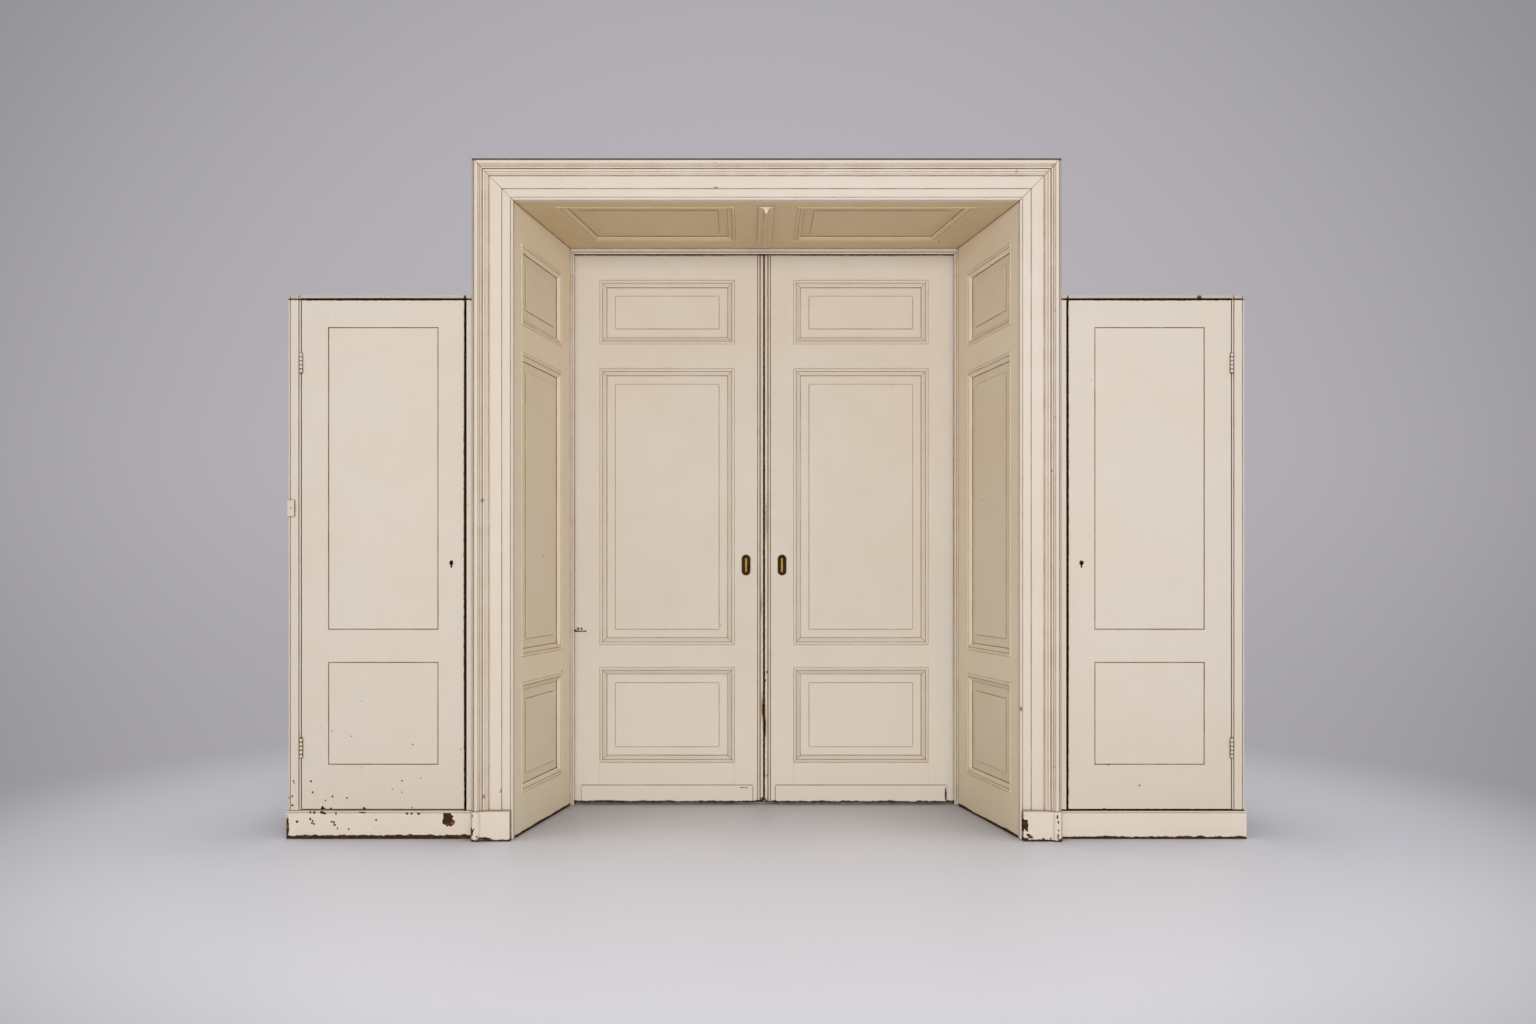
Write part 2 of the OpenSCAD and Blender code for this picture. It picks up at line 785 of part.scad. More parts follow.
module opening_bead() {
    top = soffit_h + nosing_w;
    half_w = mouth_w / 2;
    outer = half_w + nosing_w;
    color(cream) placed() facing(wall_v) {
        both_sides() mitred_run([-outer, top], [-outer, 0], [-half_w, 0], [-half_w, soffit_h],
            nosing_profile, nosing_t + over);
        mitred_run([outer, top], [-outer, top], [-half_w, soffit_h], [half_w, soffit_h],
            nosing_profile, nosing_t + over);
    }
}

module stop_bead() {
    outer = throat_w / 2 + stop_cover;
    jamb = beaded_profile(outer - stop_in, stop_t, stop_bead_r, stop_quirk);
    head = beaded_profile(lining_top - stop_z, stop_t, stop_bead_r, stop_quirk);
    color(cream) placed() facing(niche_back_v + stop_t) {
        both_sides() mitred_run([-outer, lining_top], [-outer, 0], [-stop_in, 0], [-stop_in, stop_z],
            jamb, stop_t + over);
        mitred_run([outer, lining_top], [-outer, lining_top], [-stop_in, stop_z], [stop_in, stop_z],
            head, stop_t + over);
    }
}

// Studs behind the reveals
module posts() {
    color(bare_wood) placed() both_sides() at_left_reveal() {
        translate([post_inset, lining_t, 0]) cube([post_w, post_d, lining_top]);
        translate([reveal_w - post_w - 2 * reveal_skew, lining_t, 0]) cube([post_w, post_d, lining_top]);
    }
}

lintel_half = throat_w / 2 + lintel_overhang;

// Beams over the soffit, the rear one grooved for the leaves' guide pins
module lintels() {
    rear_v = niche_back_v - rear_lintel_lap;
    groove_v = wheel_v - guide_groove_w / 2;
    color(bare_wood) placed() translate([0, 0, lining_top + fit]) {
        translate([-lintel_half, wall_v, 0]) cube([2 * lintel_half, front_lintel_d, lintel_h]);
        difference() {
            translate([-lintel_half, rear_v, 0]) cube([2 * lintel_half, rear_casing_v - rear_v, lintel_h]);
            translate([-lintel_half - over, groove_v, -over])
                cube([2 * lintel_half + 2 * over, guide_groove_w, guide_groove_h + over]);
        }
    }
}

// Boards that close the slot behind the leaves
module rear_casing() {
    top = lining_top + lintel_h;
    outer = stop_in + rear_casing_w;
    color(cream_shade) placed() translate([0, rear_casing_v, 0]) {
        both_sides() translate([-outer, 0, 0]) cube([rear_casing_w, rear_casing_t, top]);
        translate([-stop_in + fit, 0, stop_z])
            cube([2 * stop_in - 2 * fit, rear_casing_t, top - stop_z]);
    }
}

// Bar with a rounded top that the wheels run on
module floor_rail() {
    r = rail_w / 2;
    color(iron) placed() translate([buffer_x, wheel_v, 0]) rotate([90, 0, 90]) linear_extrude(-2 * buffer_x)
        polygon(concat([[r, 0]], arc([0, rail_h - r], r, 0, 180), [[-r, 0]]));
}

// Blocks at the ends of the rail that stop the leaves
module pocket_buffers() {
    color(bare_wood) placed() both_sides() translate([buffer_x - buffer_w - fit, niche_back_v, 0])
        cube([buffer_w, leaf_v + leaf_t - niche_back_v, buffer_h]);
}

// Section of the outer casing stile from its outer edge, with a bead on both edges
module casing_section(w, t) {
    r = casing_bead_r;
    polygon(concat(
        arc([r, r], r, 180, 360), [[2 * r + bead_quirk, r], [2 * r + bead_quirk, 0]],
        [[w - 2 * r - bead_quirk, 0], [w - 2 * r - bead_quirk, r]], arc([w - r, r], r, 180, 360),
        [[w, t], [0, t]]));
}

// Fixed front of a cupboard: casing stile, inner stile, head and sill
module cupboard_front() {
    notch_r = knuckle_r + edge_line;
    difference() {
        translate([-casing_out, wall_v, 0]) linear_extrude(cupboard_h) casing_section(casing_w, frame_t);
        for (z = hinge_heights) {
            translate([-hinge_x, hinge_v, z - hinge_h / 2 - over])
                cylinder(r = notch_r, h = hinge_h + 2 * over);
        }
    }
    translate([-jamb_out, wall_v, 0]) cube([jamb_show + stile_lap, frame_t, cupboard_h]);
    translate([-casing_in + fit, wall_v, cupboard_h - head_h])
        cube([casing_in - jamb_out - 2 * fit, frame_t, head_h]);
    translate([-casing_in + fit, wall_v, 0]) cube([casing_in - jamb_out - 2 * fit, frame_t, sill_top]);
}

module left_cupboard_front() {
    color(cream) placed() cupboard_front();
}

module right_cupboard_front() {
    color(cream) placed() mirror([1, 0, 0]) cupboard_front();
}

// A board with a bead along its upper edge
skirting_line_z = skirting_h - 2 * skirting_bead_r - skirting_quirk;
skirting_profile = concat([[0, 0], [0, skirting_h]],
    arc([skirting_t - skirting_bead_r, skirting_h - skirting_bead_r], skirting_bead_r, 90, -90),
    [[skirting_t, skirting_line_z], [skirting_t, 0]]);

module skirting_board() {
    translate([-casing_out - skirting_overhang, wall_v, 0]) rotate([90, 0, 90])
        linear_extrude(casing_out + skirting_overhang - architrave_out - fit)
        mirror([1, 0]) polygon(skirting_profile);
}

module skirting_boards() {
    color(cream) placed() {
        difference() {
            skirting_board();
            loss(-architrave_out - skirting_loss_x, wall_v - skirting_t, skirting_line_z,
                skirting_loss, loss_d);
        }
        mirror([1, 0, 0]) skirting_board();
    }
}

// Outline of a board inside a cupboard, with its inner end along the reveal
function board_outline(v0, v1, gap) = [[-side_in + gap, v0], [-reveal_x(v0, carcass_in), v0],
    [-reveal_x(v1, carcass_in), v1], [-side_in + gap, v1]];

// Side, back, top and floor boards of a cupboard, with a ledger low on the back
module cupboard_boards() {
    back_v = carcass_back_v - back_board_t;
    back_in = reveal_x(back_v, carcass_in);
    pitch = (side_in - back_in) / back_board_count;
    translate([-casing_out, frame_back_v + fit, 0])
        cube([board_t, carcass_back_v - frame_back_v - fit, cupboard_h]);
    for (i = [0 : back_board_count - 1]) {
        translate([-side_in + i * pitch + fit, back_v, 0])
            cube([pitch - fit, back_board_t, top_under - fit]);
    }
    translate([0, 0, top_under]) linear_extrude(top_t)
        polygon(board_outline(frame_back_v + fit, carcass_back_v, fit));
    translate([0, 0, floor_top - floor_t]) linear_extrude(floor_t)
        polygon(board_outline(frame_back_v + fit, back_v - fit, fit));
    translate([-casing_out, carcass_back_v + fit, 0])
        cube([casing_out - back_in, ledger_t - fit, ledger_h]);
}

module left_cupboard_boards() {
    color(bare_wood) placed() cupboard_boards();
}

module right_cupboard_boards() {
    color(bare_wood) placed() mirror([1, 0, 0]) cupboard_boards();
}

shelf_pitch = (top_under - floor_top + shelf_t) / (shelf_count + 1);
shelf_front_v = lock_v + lock_t + shelf_set;
shelf_back_v = carcass_back_v - back_board_t - fit;

// Shelves on cleats along the outer side and along the posts
module cupboard_shelves() {
    for (i = [1 : shelf_count]) {
        z = floor_top + i * shelf_pitch - shelf_t;
        translate([0, 0, z]) linear_extrude(shelf_t) polygon(board_outline(shelf_front_v, shelf_back_v, fit));
        translate([-side_in + fit, shelf_front_v, z - cleat - fit])
            cube([cleat, shelf_back_v - shelf_front_v, cleat]);
        at_left_reveal() translate([post_inset + post_w / 2, carcass_in, z - cleat - fit])
            cube([reveal_w - 2 * post_w - 2 * post_inset, cleat, cleat]);
    }
}

module left_cupboard_shelves() {
    color(bare_wood) placed() cupboard_shelves();
}

module right_cupboard_shelves() {
    color(bare_wood) placed() mirror([1, 0, 0]) cupboard_shelves();
}

// Puts a cupboard door's frame at its place on the left
module at_left_door() {
    translate([-door_out, door_v, door_z]) children();
}

module keyhole(depth) {
    rotate([-90, 0, 0]) cylinder(r = key_r, h = depth);
    translate([-key_slot_w / 2, 0, -key_slot_h]) cube([key_slot_w, depth, key_slot_h]);
}

module cupboard_door_frame() {
    difference() {
        at_left_door() stiles(door_w, door_h, door_t, door_stile, door_stile, door_tiers,
            door_groove_v, door_groove_w, 0);
        translate([-key_x, door_v - over, key_z]) keyhole(door_t + 2 * over);
    }
    at_left_door() rails(door_w, door_h, door_t, door_stile, door_stile, door_tiers,
        door_groove_v, door_groove_w);
}

// A flush panel whose rounded edge leaves a narrow line round it
panel_round = 3.5;
door_panel_profile = concat([[fit, -door_groove_v - over]],
    arc([fit + panel_round, -panel_round], panel_round, 180, 90),
    [[mouth_w, 0], [mouth_w, -door_groove_v - over]]);

module cupboard_door_panels() {
    at_left_door() for (tier = door_tiers) {
        union() {
            panel_plates(door_stile, door_w - door_stile, [tier], door_groove_v + fit,
                door_groove_w - 2 * fit, groove_d - fit);
            facing(fit) fielded(tier_outline(door_w, door_stile, door_stile, tier), door_panel_profile);
        }
    }
}

module left_cupboard_door_frame() {
    color(cream) placed() difference() {
        cupboard_door_frame();
        loss(wide_door_loss_x - door_out, door_v, door_z, wide_door_loss, edge_loss_d);
        loss(small_door_loss_x - door_out, door_v, door_z, small_door_loss, edge_loss_d);
    }
}

module right_cupboard_door_frame() {
    color(cream) placed() mirror([1, 0, 0]) cupboard_door_frame();
}

module left_cupboard_door_panels() {
    color(cream) placed() cupboard_door_panels();
}

module right_cupboard_door_panels() {
    color(cream) placed() mirror([1, 0, 0]) cupboard_door_panels();
}

// One leaf of a hinge: a plate from x0 to x1 and every second knuckle from the given one
module hinge_leaf(x0, x1, first) {
    for (z = hinge_heights) {
        translate([0, 0, z - hinge_h / 2]) difference() {
            union() {
                translate([x0, hinge_v, 0]) cube([x1 - x0, hinge_leaf_d, hinge_h]);
                for (i = [first : 2 : knuckle_count - 1]) {
                    translate([-hinge_x, hinge_v, i * knuckle_h + hinge_play / 2])
                        cylinder(r = knuckle_r, h = knuckle_h - hinge_play);
                }
            }
            for (i = [1 - first : 2 : knuckle_count - 1]) {
                translate([-hinge_x, hinge_v, i * knuckle_h - hinge_play / 2])
                    cylinder(r = knuckle_r + hinge_play, h = knuckle_h + hinge_play);
            }
            translate([-hinge_x, hinge_v, -over]) cylinder(r = pin_r + run_fit, h = hinge_h + 2 * over);
        }
    }
}

module fixed_hinge_leaves() {
    color(cream) placed() both_sides() hinge_leaf(-casing_in, -casing_in + hinge_leaf_t, 0);
}

module door_hinge_leaves() {
    hinge_leaf(-door_out - hinge_leaf_t, -door_out, 1);
}

module left_cupboard_door_hinge_leaves() {
    color(cream) placed() door_hinge_leaves();
}

module right_cupboard_door_hinge_leaves() {
    color(cream) placed() mirror([1, 0, 0]) door_hinge_leaves();
}

module hinge_pins() {
    color(iron) placed() both_sides() for (z = hinge_heights) {
        translate([-hinge_x, hinge_v, z - hinge_h / 2]) cylinder(r = pin_r, h = hinge_h);
    }
}

bolt_z = key_z + bolt_rise;
lock_x = -door_in - lock_edge;
bolt_v = lock_v + bolt_set;

// Space that a lock's bolt slides in, from the lock's edge
module bolt_space(grow, length) {
    translate([lock_x - length, bolt_v - grow, bolt_z - grow])
        cube([length + over, bolt_t + 2 * grow, bolt_h + 2 * grow]);
}

// Rim lock on the back of a cupboard door
module cupboard_lock() {
    difference() {
        translate([lock_x - lock_w, lock_v, key_z - lock_h / 2]) cube([lock_w, lock_t, lock_h]);
        bolt_space(2 * run_fit + fit, bolt_l + over);
        translate([-key_x, lock_v - over, key_z]) keyhole(lock_t / 2);
    }
}

module cupboard_lock_bolt() {
    translate([lock_x - bolt_l, bolt_v, bolt_z]) cube([bolt_l, bolt_t, bolt_h]);
}

module left_cupboard_lock() {
    color(iron) placed() cupboard_lock();
}

module right_cupboard_lock() {
    color(iron) placed() mirror([1, 0, 0]) cupboard_lock();
}

module left_cupboard_lock_bolt() {
    color(iron) placed() cupboard_lock_bolt();
}

module right_cupboard_lock_bolt() {
    color(iron) placed() mirror([1, 0, 0]) cupboard_lock_bolt();
}

// Boxes behind the inner stiles that take the bolts
module lock_keeps() {
    keep_t = bolt_v + bolt_t + keep_wall - frame_back_v;
    color(iron) placed() both_sides() difference() {
        translate([-jamb_out, frame_back_v + fit, bolt_z - keep_wall])
            cube([keep_w, keep_t, bolt_h + 2 * keep_wall]);
        translate([-jamb_out - over, bolt_v - over, bolt_z - over])
            cube([keep_mouth + over, bolt_t + 2 * over, bolt_h + 2 * over]);
    }
}

// Small plate with a screw hole near the outer edge of the left casing
module edge_plate() {
    plate_v = wall_v - plate_t - fit;
    color(cream) placed() translate([-casing_out, plate_v, plate_z - plate_h / 2]) difference() {
        cube([plate_w, plate_t, plate_h]);
        translate([plate_w / 2, -over, plate_h / 2]) rotate([-90, 0, 0])
            cylinder(r = plate_hole_r, h = plate_t + 2 * over);
    }
}

// Puts a sliding leaf's frame at its place on the left
module at_left_leaf() {
    translate([leaf_x, leaf_v, leaf_floor_gap]) children();
}

// Front line of the meeting stile from its inner edge to the meeting edge, with two beads
meeting_bead_x = leaf_meeting_stile - meeting_bead_r;
meeting_small_x = meeting_bead_x - meeting_bead_r - bead_quirk - meeting_small_r;
meeting_line = concat([[0, 0], [meeting_small_x - meeting_small_r - bead_quirk, 0],
    [meeting_small_x - meeting_small_r - bead_quirk, meeting_small_r]],
    arc([meeting_small_x, meeting_small_r], meeting_small_r, 180, 360),
    arc([meeting_bead_x, meeting_bead_r], meeting_bead_r, 180, 360));

// Section of the meeting stile, beaded on both faces
meeting_count = len(meeting_line);
meeting_back = [for (i = [1 : meeting_count])
    [meeting_line[meeting_count - i].x, leaf_t - meeting_line[meeting_count - i].y]];
meeting_section = [for (p = concat(meeting_line, meeting_back)) p + [leaf_w - leaf_meeting_stile, 0]];

// A plate or pocket with round ends, facing the viewer
module obround(w, h, t) {
    r = w / 2;
    for (z = [r - h / 2, h / 2 - r]) {
        translate([0, 0, z]) rotate([-90, 0, 0]) cylinder(r = r, h = t);
    }
    translate([-r, 0, r - h / 2]) cube([w, t, h - w]);
}

// Sizes of a pull: a rim on the face, a body let into the stile and a stepped recess
pull_rim = 1.5;
pull_body_share = 0.82;
pull_step_share = 0.68;
pull_cup_share = 0.46;
pull_body_w = pull_w * pull_body_share;
pull_body_h = pull_h - pull_w + pull_body_w;
pull_body_d = 15;
pull_step_d = 3;
pull_cup_d = 13;

// Does the same to the front and to the back of a leaf
module both_faces() {
    children();
    translate([0, 2 * leaf_v + leaf_t, 0]) mirror([0, 1, 0]) children();
}

module at_pull() {
    both_faces() translate([-leaf_gap / 2 - pull_inset, leaf_v, pull_z]) children();
}

module leaf_pulls() {
    step_w = pull_w * pull_step_share;
    cup_w = pull_w * pull_cup_share;
    at_pull() difference() {
        union() {
            translate([0, -pull_rim, 0]) obround(pull_w, pull_h, pull_rim);
            obround(pull_body_w, pull_body_h, pull_body_d);
        }
        translate([0, -pull_rim - over, 0]) obround(step_w, pull_h - pull_w + step_w, pull_step_d + over);
        translate([0, -over, 0]) obround(cup_w, pull_h - pull_w + cup_w, pull_cup_d + over);
    }
}

// Stiles, rails and their cuts for wheels, guide pins and pulls
module leaf_frame() {
    gear_low = leaf_floor_gap - over;
    difference() {
        at_left_leaf() stile(first_stile(leaf_t, leaf_outer_stile, 0), leaf_w, leaf_h, leaf_outer_stile,
            leaf_meeting_stile, leaf_tiers, margin_d, leaf_groove_w);
        guide_pins(fit);
    }
    difference() {
        at_left_leaf() stile(meeting_section, leaf_w, leaf_h, leaf_outer_stile,
            leaf_meeting_stile, leaf_tiers, margin_d, leaf_groove_w);
        at_pull() translate([0, -over, 0])
            obround(pull_body_w + 2 * fit, pull_body_h + 2 * fit, pull_body_d + fit + over);
        guide_pins(fit);
    }
    difference() {
        at_left_leaf() rails(leaf_w, leaf_h, leaf_t, leaf_outer_stile, leaf_meeting_stile, leaf_tiers,
            margin_d, leaf_groove_w);
        for (x = [outer_wheel_x, inner_wheel_x]) {
            translate([x - gear_l / 2 - fit, wheel_v - gear_w / 2 - fit, gear_low])
                cube([gear_l + 2 * fit, gear_w + 2 * fit, gear_top + fit - gear_low]);
        }
    }
}

// Fielded on both faces
module leaf_panels() {
    for (tier = leaf_tiers) {
        union() {
            at_left_leaf() panel_plates(leaf_outer_stile, leaf_w - leaf_meeting_stile, [tier],
                margin_d + fit, leaf_groove_w - 2 * fit, groove_d - fit);
            both_faces() at_left_leaf() facing(0)
                fielded(tier_outline(leaf_w, leaf_outer_stile, leaf_meeting_stile, tier),
                field_profile(margin_d + fit));
        }
    }
}

module leaf_mouldings() {
    both_faces() at_left_leaf() tier_mouldings(leaf_w, leaf_outer_stile, leaf_meeting_stile, leaf_tiers);
}

// Low board on the front, with its upper edge rounded
module leaf_kick_board() {
    translate([-stop_in + kick_end - leaf_overlap, leaf_v, leaf_floor_gap]) rotate([90, 0, 90])
        linear_extrude(stop_in + leaf_overlap - kick_end - kick_inset) mirror([1, 0])
        polygon(concat([[0, 0], [0, kick_h]],
        arc([kick_t - kick_round, kick_h - kick_round], kick_round, 90, 0), [[kick_t, 0]]));
}

// Pins on the top edge that run in the lintel's groove
module guide_pins(grow) {
    top = leaf_floor_gap + leaf_h;
    for (x = [leaf_x + guide_inset, -leaf_gap / 2 - guide_inset]) {
        translate([x, wheel_v, top - guide_sink - grow])
            cylinder(r = guide_r + grow, h = guide_sink + guide_rise + grow);
    }
}

// Sheet boxes round the wheels, each with its axle
module roller_box() {
    gear_h = gear_top - leaf_floor_gap;
    difference() {
        translate([-gear_l / 2, -gear_w / 2, leaf_floor_gap]) cube([gear_l, gear_w, gear_h]);
        translate([-gear_l / 2 + gear_sheet, gear_sheet - gear_w / 2, leaf_floor_gap - over])
            cube([gear_l - 2 * gear_sheet, gear_w - 2 * gear_sheet, gear_h - gear_sheet + over]);
    }
    translate([0, gear_w / 2 - over, wheel_z]) rotate([90, 0, 0]) cylinder(r = axle_r, h = gear_w - 2 * over);
}

module leaf_running_gear() {
    for (x = [outer_wheel_x, inner_wheel_x]) {
        translate([x, wheel_v, 0]) roller_box();
    }
    guide_pins(0);
}

// A wheel grooved to fit the rail, on its axle at x
module leaf_wheel(x) {
    half_w = wheel_w / 2;
    half_groove = wheel_groove_w / 2;
    translate([x, wheel_v, wheel_z]) rotate([90, 0, 0]) rotate_extrude()
        polygon([[axle_r + run_fit, -half_w], [wheel_flange_r, -half_w], [wheel_flange_r, -half_groove],
        [wheel_tread_r, wheel_flank - half_groove], [wheel_tread_r, half_groove - wheel_flank],
        [wheel_flange_r, half_groove], [wheel_flange_r, half_w], [axle_r + run_fit, half_w]]);
}

// Strip on the back of the left leaf that covers the gap between the leaves
module cover_strip() {
    half_w = cover_w / 2;
    translate([0, leaf_v + leaf_t + cover_play, leaf_floor_gap]) linear_extrude(leaf_h)
        polygon(concat([[-half_w, 0]], arc([cover_r - half_w, cover_t - cover_r], cover_r, 180, 90),
        arc([half_w - cover_r, cover_t - cover_r], cover_r, 90, 0), [[half_w, 0]]));
}

module left_leaf_frame() {
    color(cream) placed() {
        difference() {
            leaf_frame();
            loss(-stop_in, leaf_v, leaf_crack_z, leaf_crack, loss_d);
        }
        cover_strip();
    }
}

module right_leaf_frame() {
    color(cream) placed() mirror([1, 0, 0]) leaf_frame();
}

module left_leaf_panels() {
    color(cream) placed() leaf_panels();
}

module right_leaf_panels() {
    color(cream) placed() mirror([1, 0, 0]) leaf_panels();
}

module left_leaf_mouldings() {
    color(cream) placed() leaf_mouldings();
}

module right_leaf_mouldings() {
    color(cream) placed() mirror([1, 0, 0]) leaf_mouldings();
}

module left_leaf_kick_board() {
    color(cream) placed() leaf_kick_board();
}

module right_leaf_kick_board() {
    color(cream) placed() mirror([1, 0, 0]) leaf_kick_board();
}

module left_leaf_pulls() {
    color(brass) placed() leaf_pulls();
}

module right_leaf_pulls() {
    color(brass) placed() mirror([1, 0, 0]) leaf_pulls();
}

module left_leaf_running_gear() {
    color(iron) placed() leaf_running_gear();
}

module right_leaf_running_gear() {
    color(iron) placed() mirror([1, 0, 0]) leaf_running_gear();
}

module left_leaf_outer_wheel() {
    color(iron) placed() leaf_wheel(outer_wheel_x);
}

module left_leaf_inner_wheel() {
    color(iron) placed() leaf_wheel(inner_wheel_x);
}

module right_leaf_outer_wheel() {
    color(iron) placed() mirror([1, 0, 0]) leaf_wheel(outer_wheel_x);
}

module right_leaf_inner_wheel() {
    color(iron) placed() mirror([1, 0, 0]) leaf_wheel(inner_wheel_x);
}

architrave_left_leg();
architrave_right_leg();
architrave_head();
plinth_blocks();
opening_bead();
left_reveal_frame();
left_reveal_panels();
left_reveal_mouldings();
right_reveal_frame();
right_reveal_panels();
right_reveal_mouldings();
soffit_frame();
soffit_panels();
soffit_mouldings();
soffit_keel();
stop_bead();
posts();
lintels();
rear_casing();
floor_rail();
pocket_buffers();
left_cupboard_front();
left_cupboard_boards();
left_cupboard_shelves();
right_cupboard_front();
right_cupboard_boards();
right_cupboard_shelves();
skirting_boards();
fixed_hinge_leaves();
hinge_pins();
lock_keeps();
edge_plate();
left_leaf_frame();
left_leaf_panels();
left_leaf_mouldings();
left_leaf_kick_board();
left_leaf_pulls();
left_leaf_running_gear();
left_leaf_outer_wheel();
left_leaf_inner_wheel();
right_leaf_frame();
right_leaf_panels();
right_leaf_mouldings();
right_leaf_kick_board();
right_leaf_pulls();
right_leaf_running_gear();
right_leaf_outer_wheel();
right_leaf_inner_wheel();
left_cupboard_door_frame();
left_cupboard_door_panels();
left_cupboard_door_hinge_leaves();
left_cupboard_lock();
left_cupboard_lock_bolt();
right_cupboard_door_frame();
right_cupboard_door_panels();
right_cupboard_door_hinge_leaves();
right_cupboard_lock();
right_cupboard_lock_bolt();
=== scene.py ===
"""Finishes for an old cream-painted room divider with sliding doors and side cupboards.

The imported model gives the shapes. This file gives its pieces their paint, wood and metal,
bends the two wire hooks that stick out of the keyholes, and sets up the studio.
"""
import math

import bmesh
import bpy
from bpy.props import FloatProperty, FloatVectorProperty, PointerProperty
from mathutils import Matrix, Vector


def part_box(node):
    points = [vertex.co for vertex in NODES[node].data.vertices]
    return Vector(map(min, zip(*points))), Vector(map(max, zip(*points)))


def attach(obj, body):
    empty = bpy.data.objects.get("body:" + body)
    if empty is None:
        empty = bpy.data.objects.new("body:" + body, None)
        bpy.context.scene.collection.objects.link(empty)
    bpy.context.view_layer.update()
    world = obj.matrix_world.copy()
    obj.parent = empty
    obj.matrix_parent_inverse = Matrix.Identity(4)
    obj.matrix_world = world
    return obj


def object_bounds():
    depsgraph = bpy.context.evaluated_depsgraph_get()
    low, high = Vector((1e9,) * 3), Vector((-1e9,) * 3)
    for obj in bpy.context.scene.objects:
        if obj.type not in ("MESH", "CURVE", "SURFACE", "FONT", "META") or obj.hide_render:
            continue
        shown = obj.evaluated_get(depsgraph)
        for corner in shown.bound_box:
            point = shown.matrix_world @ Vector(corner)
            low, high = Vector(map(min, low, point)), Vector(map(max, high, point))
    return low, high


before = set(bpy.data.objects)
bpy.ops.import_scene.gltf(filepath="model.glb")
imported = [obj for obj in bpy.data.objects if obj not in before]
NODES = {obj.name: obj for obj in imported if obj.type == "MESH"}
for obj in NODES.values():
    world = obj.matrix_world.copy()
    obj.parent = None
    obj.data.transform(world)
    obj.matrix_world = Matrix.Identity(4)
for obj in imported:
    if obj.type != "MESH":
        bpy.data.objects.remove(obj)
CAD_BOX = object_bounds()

bl_info = {
    "name": "Room divider finishes",
    "version": (1, 0, 0),
    "blender": (4, 5, 0),
    "location": "3D View > Sidebar > Divider",
    "description": "Paint, wood, metal, keyhole hooks and studio for a panelled room divider",
    "category": "Object",
}

SIDES = ("left", "right")


def on_sides(*pieces):
    """The names of pieces that each side has."""
    return tuple(f"{side}_{piece}" for side in SIDES for piece in pieces)


# Painted pieces by group, so that each group has its own tone and wear
ARCHITRAVE = ("architrave_left_leg", "architrave_right_leg", "architrave_head", "opening_bead", "stop_bead")
PLINTHS = ("plinth_blocks",)
SKIRTINGS = ("skirting_boards",)
REVEAL_FRAMES = on_sides("reveal_frame")
REVEAL_PANELS = on_sides("reveal_panels")
REVEAL_MOULDINGS = on_sides("reveal_mouldings")
SOFFIT = ("soffit_frame", "soffit_panels", "soffit_mouldings")
KEEL = ("soffit_keel",)
LEAVES = on_sides("leaf_frame", "leaf_panels")
LEAF_MOULDINGS = on_sides("leaf_mouldings")
KICK_BOARDS = on_sides("leaf_kick_board")
CUPBOARDS = on_sides("cupboard_front", "cupboard_door_frame", "cupboard_door_panels")
REAR = ("rear_casing",)
# Bare wood, by the way its grain runs
UPRIGHT_BOARDS = ("posts", *on_sides("cupboard_boards"))
LEVEL_BOARDS = ("lintels", "pocket_buffers", *on_sides("cupboard_shelves"))
# Metal
PULLS = on_sides("leaf_pulls")
HINGES = ("fixed_hinge_leaves", *on_sides("cupboard_door_hinge_leaves"))
PLATE = ("edge_plate",)
DARK_STEEL = ("floor_rail", "hinge_pins", "lock_keeps") + on_sides(
    "leaf_running_gear", "leaf_outer_wheel", "leaf_inner_wheel", "cupboard_lock_bolt")
BLACK_LOCKS = on_sides("cupboard_lock")

# Places where paint has come off, and in the leaf and cupboard lists also dark lines of painted shade in gaps:
# middle across, middle up, half width, half height, in metres
SKIRTING_CHIPS = (
    (-1.7925, 0.0400, 0.0055, 0.0420), (-1.7569, 0.0640, 0.0045, 0.0045), (-1.7079, 0.0744, 0.0035, 0.0050),
    (-1.6985, 0.0670, 0.0035, 0.0050), (-1.7015, 0.0595, 0.0040, 0.0030), (-1.6935, 0.0555, 0.0040, 0.0035),
    (-1.6260, 0.0645, 0.0060, 0.0030), (-1.6180, 0.0610, 0.0030, 0.0050), (-1.6165, 0.0525, 0.0050, 0.0030),
    (-1.7080, 0.0995, 0.0040, 0.0040), (-1.6925, 0.0990, 0.0045, 0.0045), (-1.6630, 0.0990, 0.0080, 0.0045),
    (-1.6535, 0.0955, 0.0060, 0.0040), (-1.6110, 0.0960, 0.0030, 0.0070), (-1.5100, 0.0985, 0.0140, 0.0030),
    (-1.3450, 0.0955, 0.0050, 0.0040), (-1.3280, 0.0950, 0.0040, 0.0040), (-1.3020, 0.0945, 0.0060, 0.0040),
    (-1.6057, 0.0396, 0.0030, 0.0030), (-1.5638, 0.0370, 0.0030, 0.0030), (-1.4608, 0.0718, 0.0035, 0.0035),
)
PLINTH_CHIPS = (
    (-1.0905, 0.0960, 0.0030, 0.0050), (-1.0725, 0.0190, 0.0040, 0.0035), (-1.0480, 0.0100, 0.0260, 0.0060),
    (0.9600, 0.0060, 0.0120, 0.0090), (1.0270, 0.0110, 0.0035, 0.0030), (1.0530, 0.0110, 0.0035, 0.0035),
    (1.0760, 0.0930, 0.0030, 0.0080), (1.0790, 0.0720, 0.0030, 0.0060), (1.0805, 0.0420, 0.0035, 0.0035),
    (1.0790, 0.0190, 0.0030, 0.0120), (1.0890, 0.0060, 0.0100, 0.0060),
)
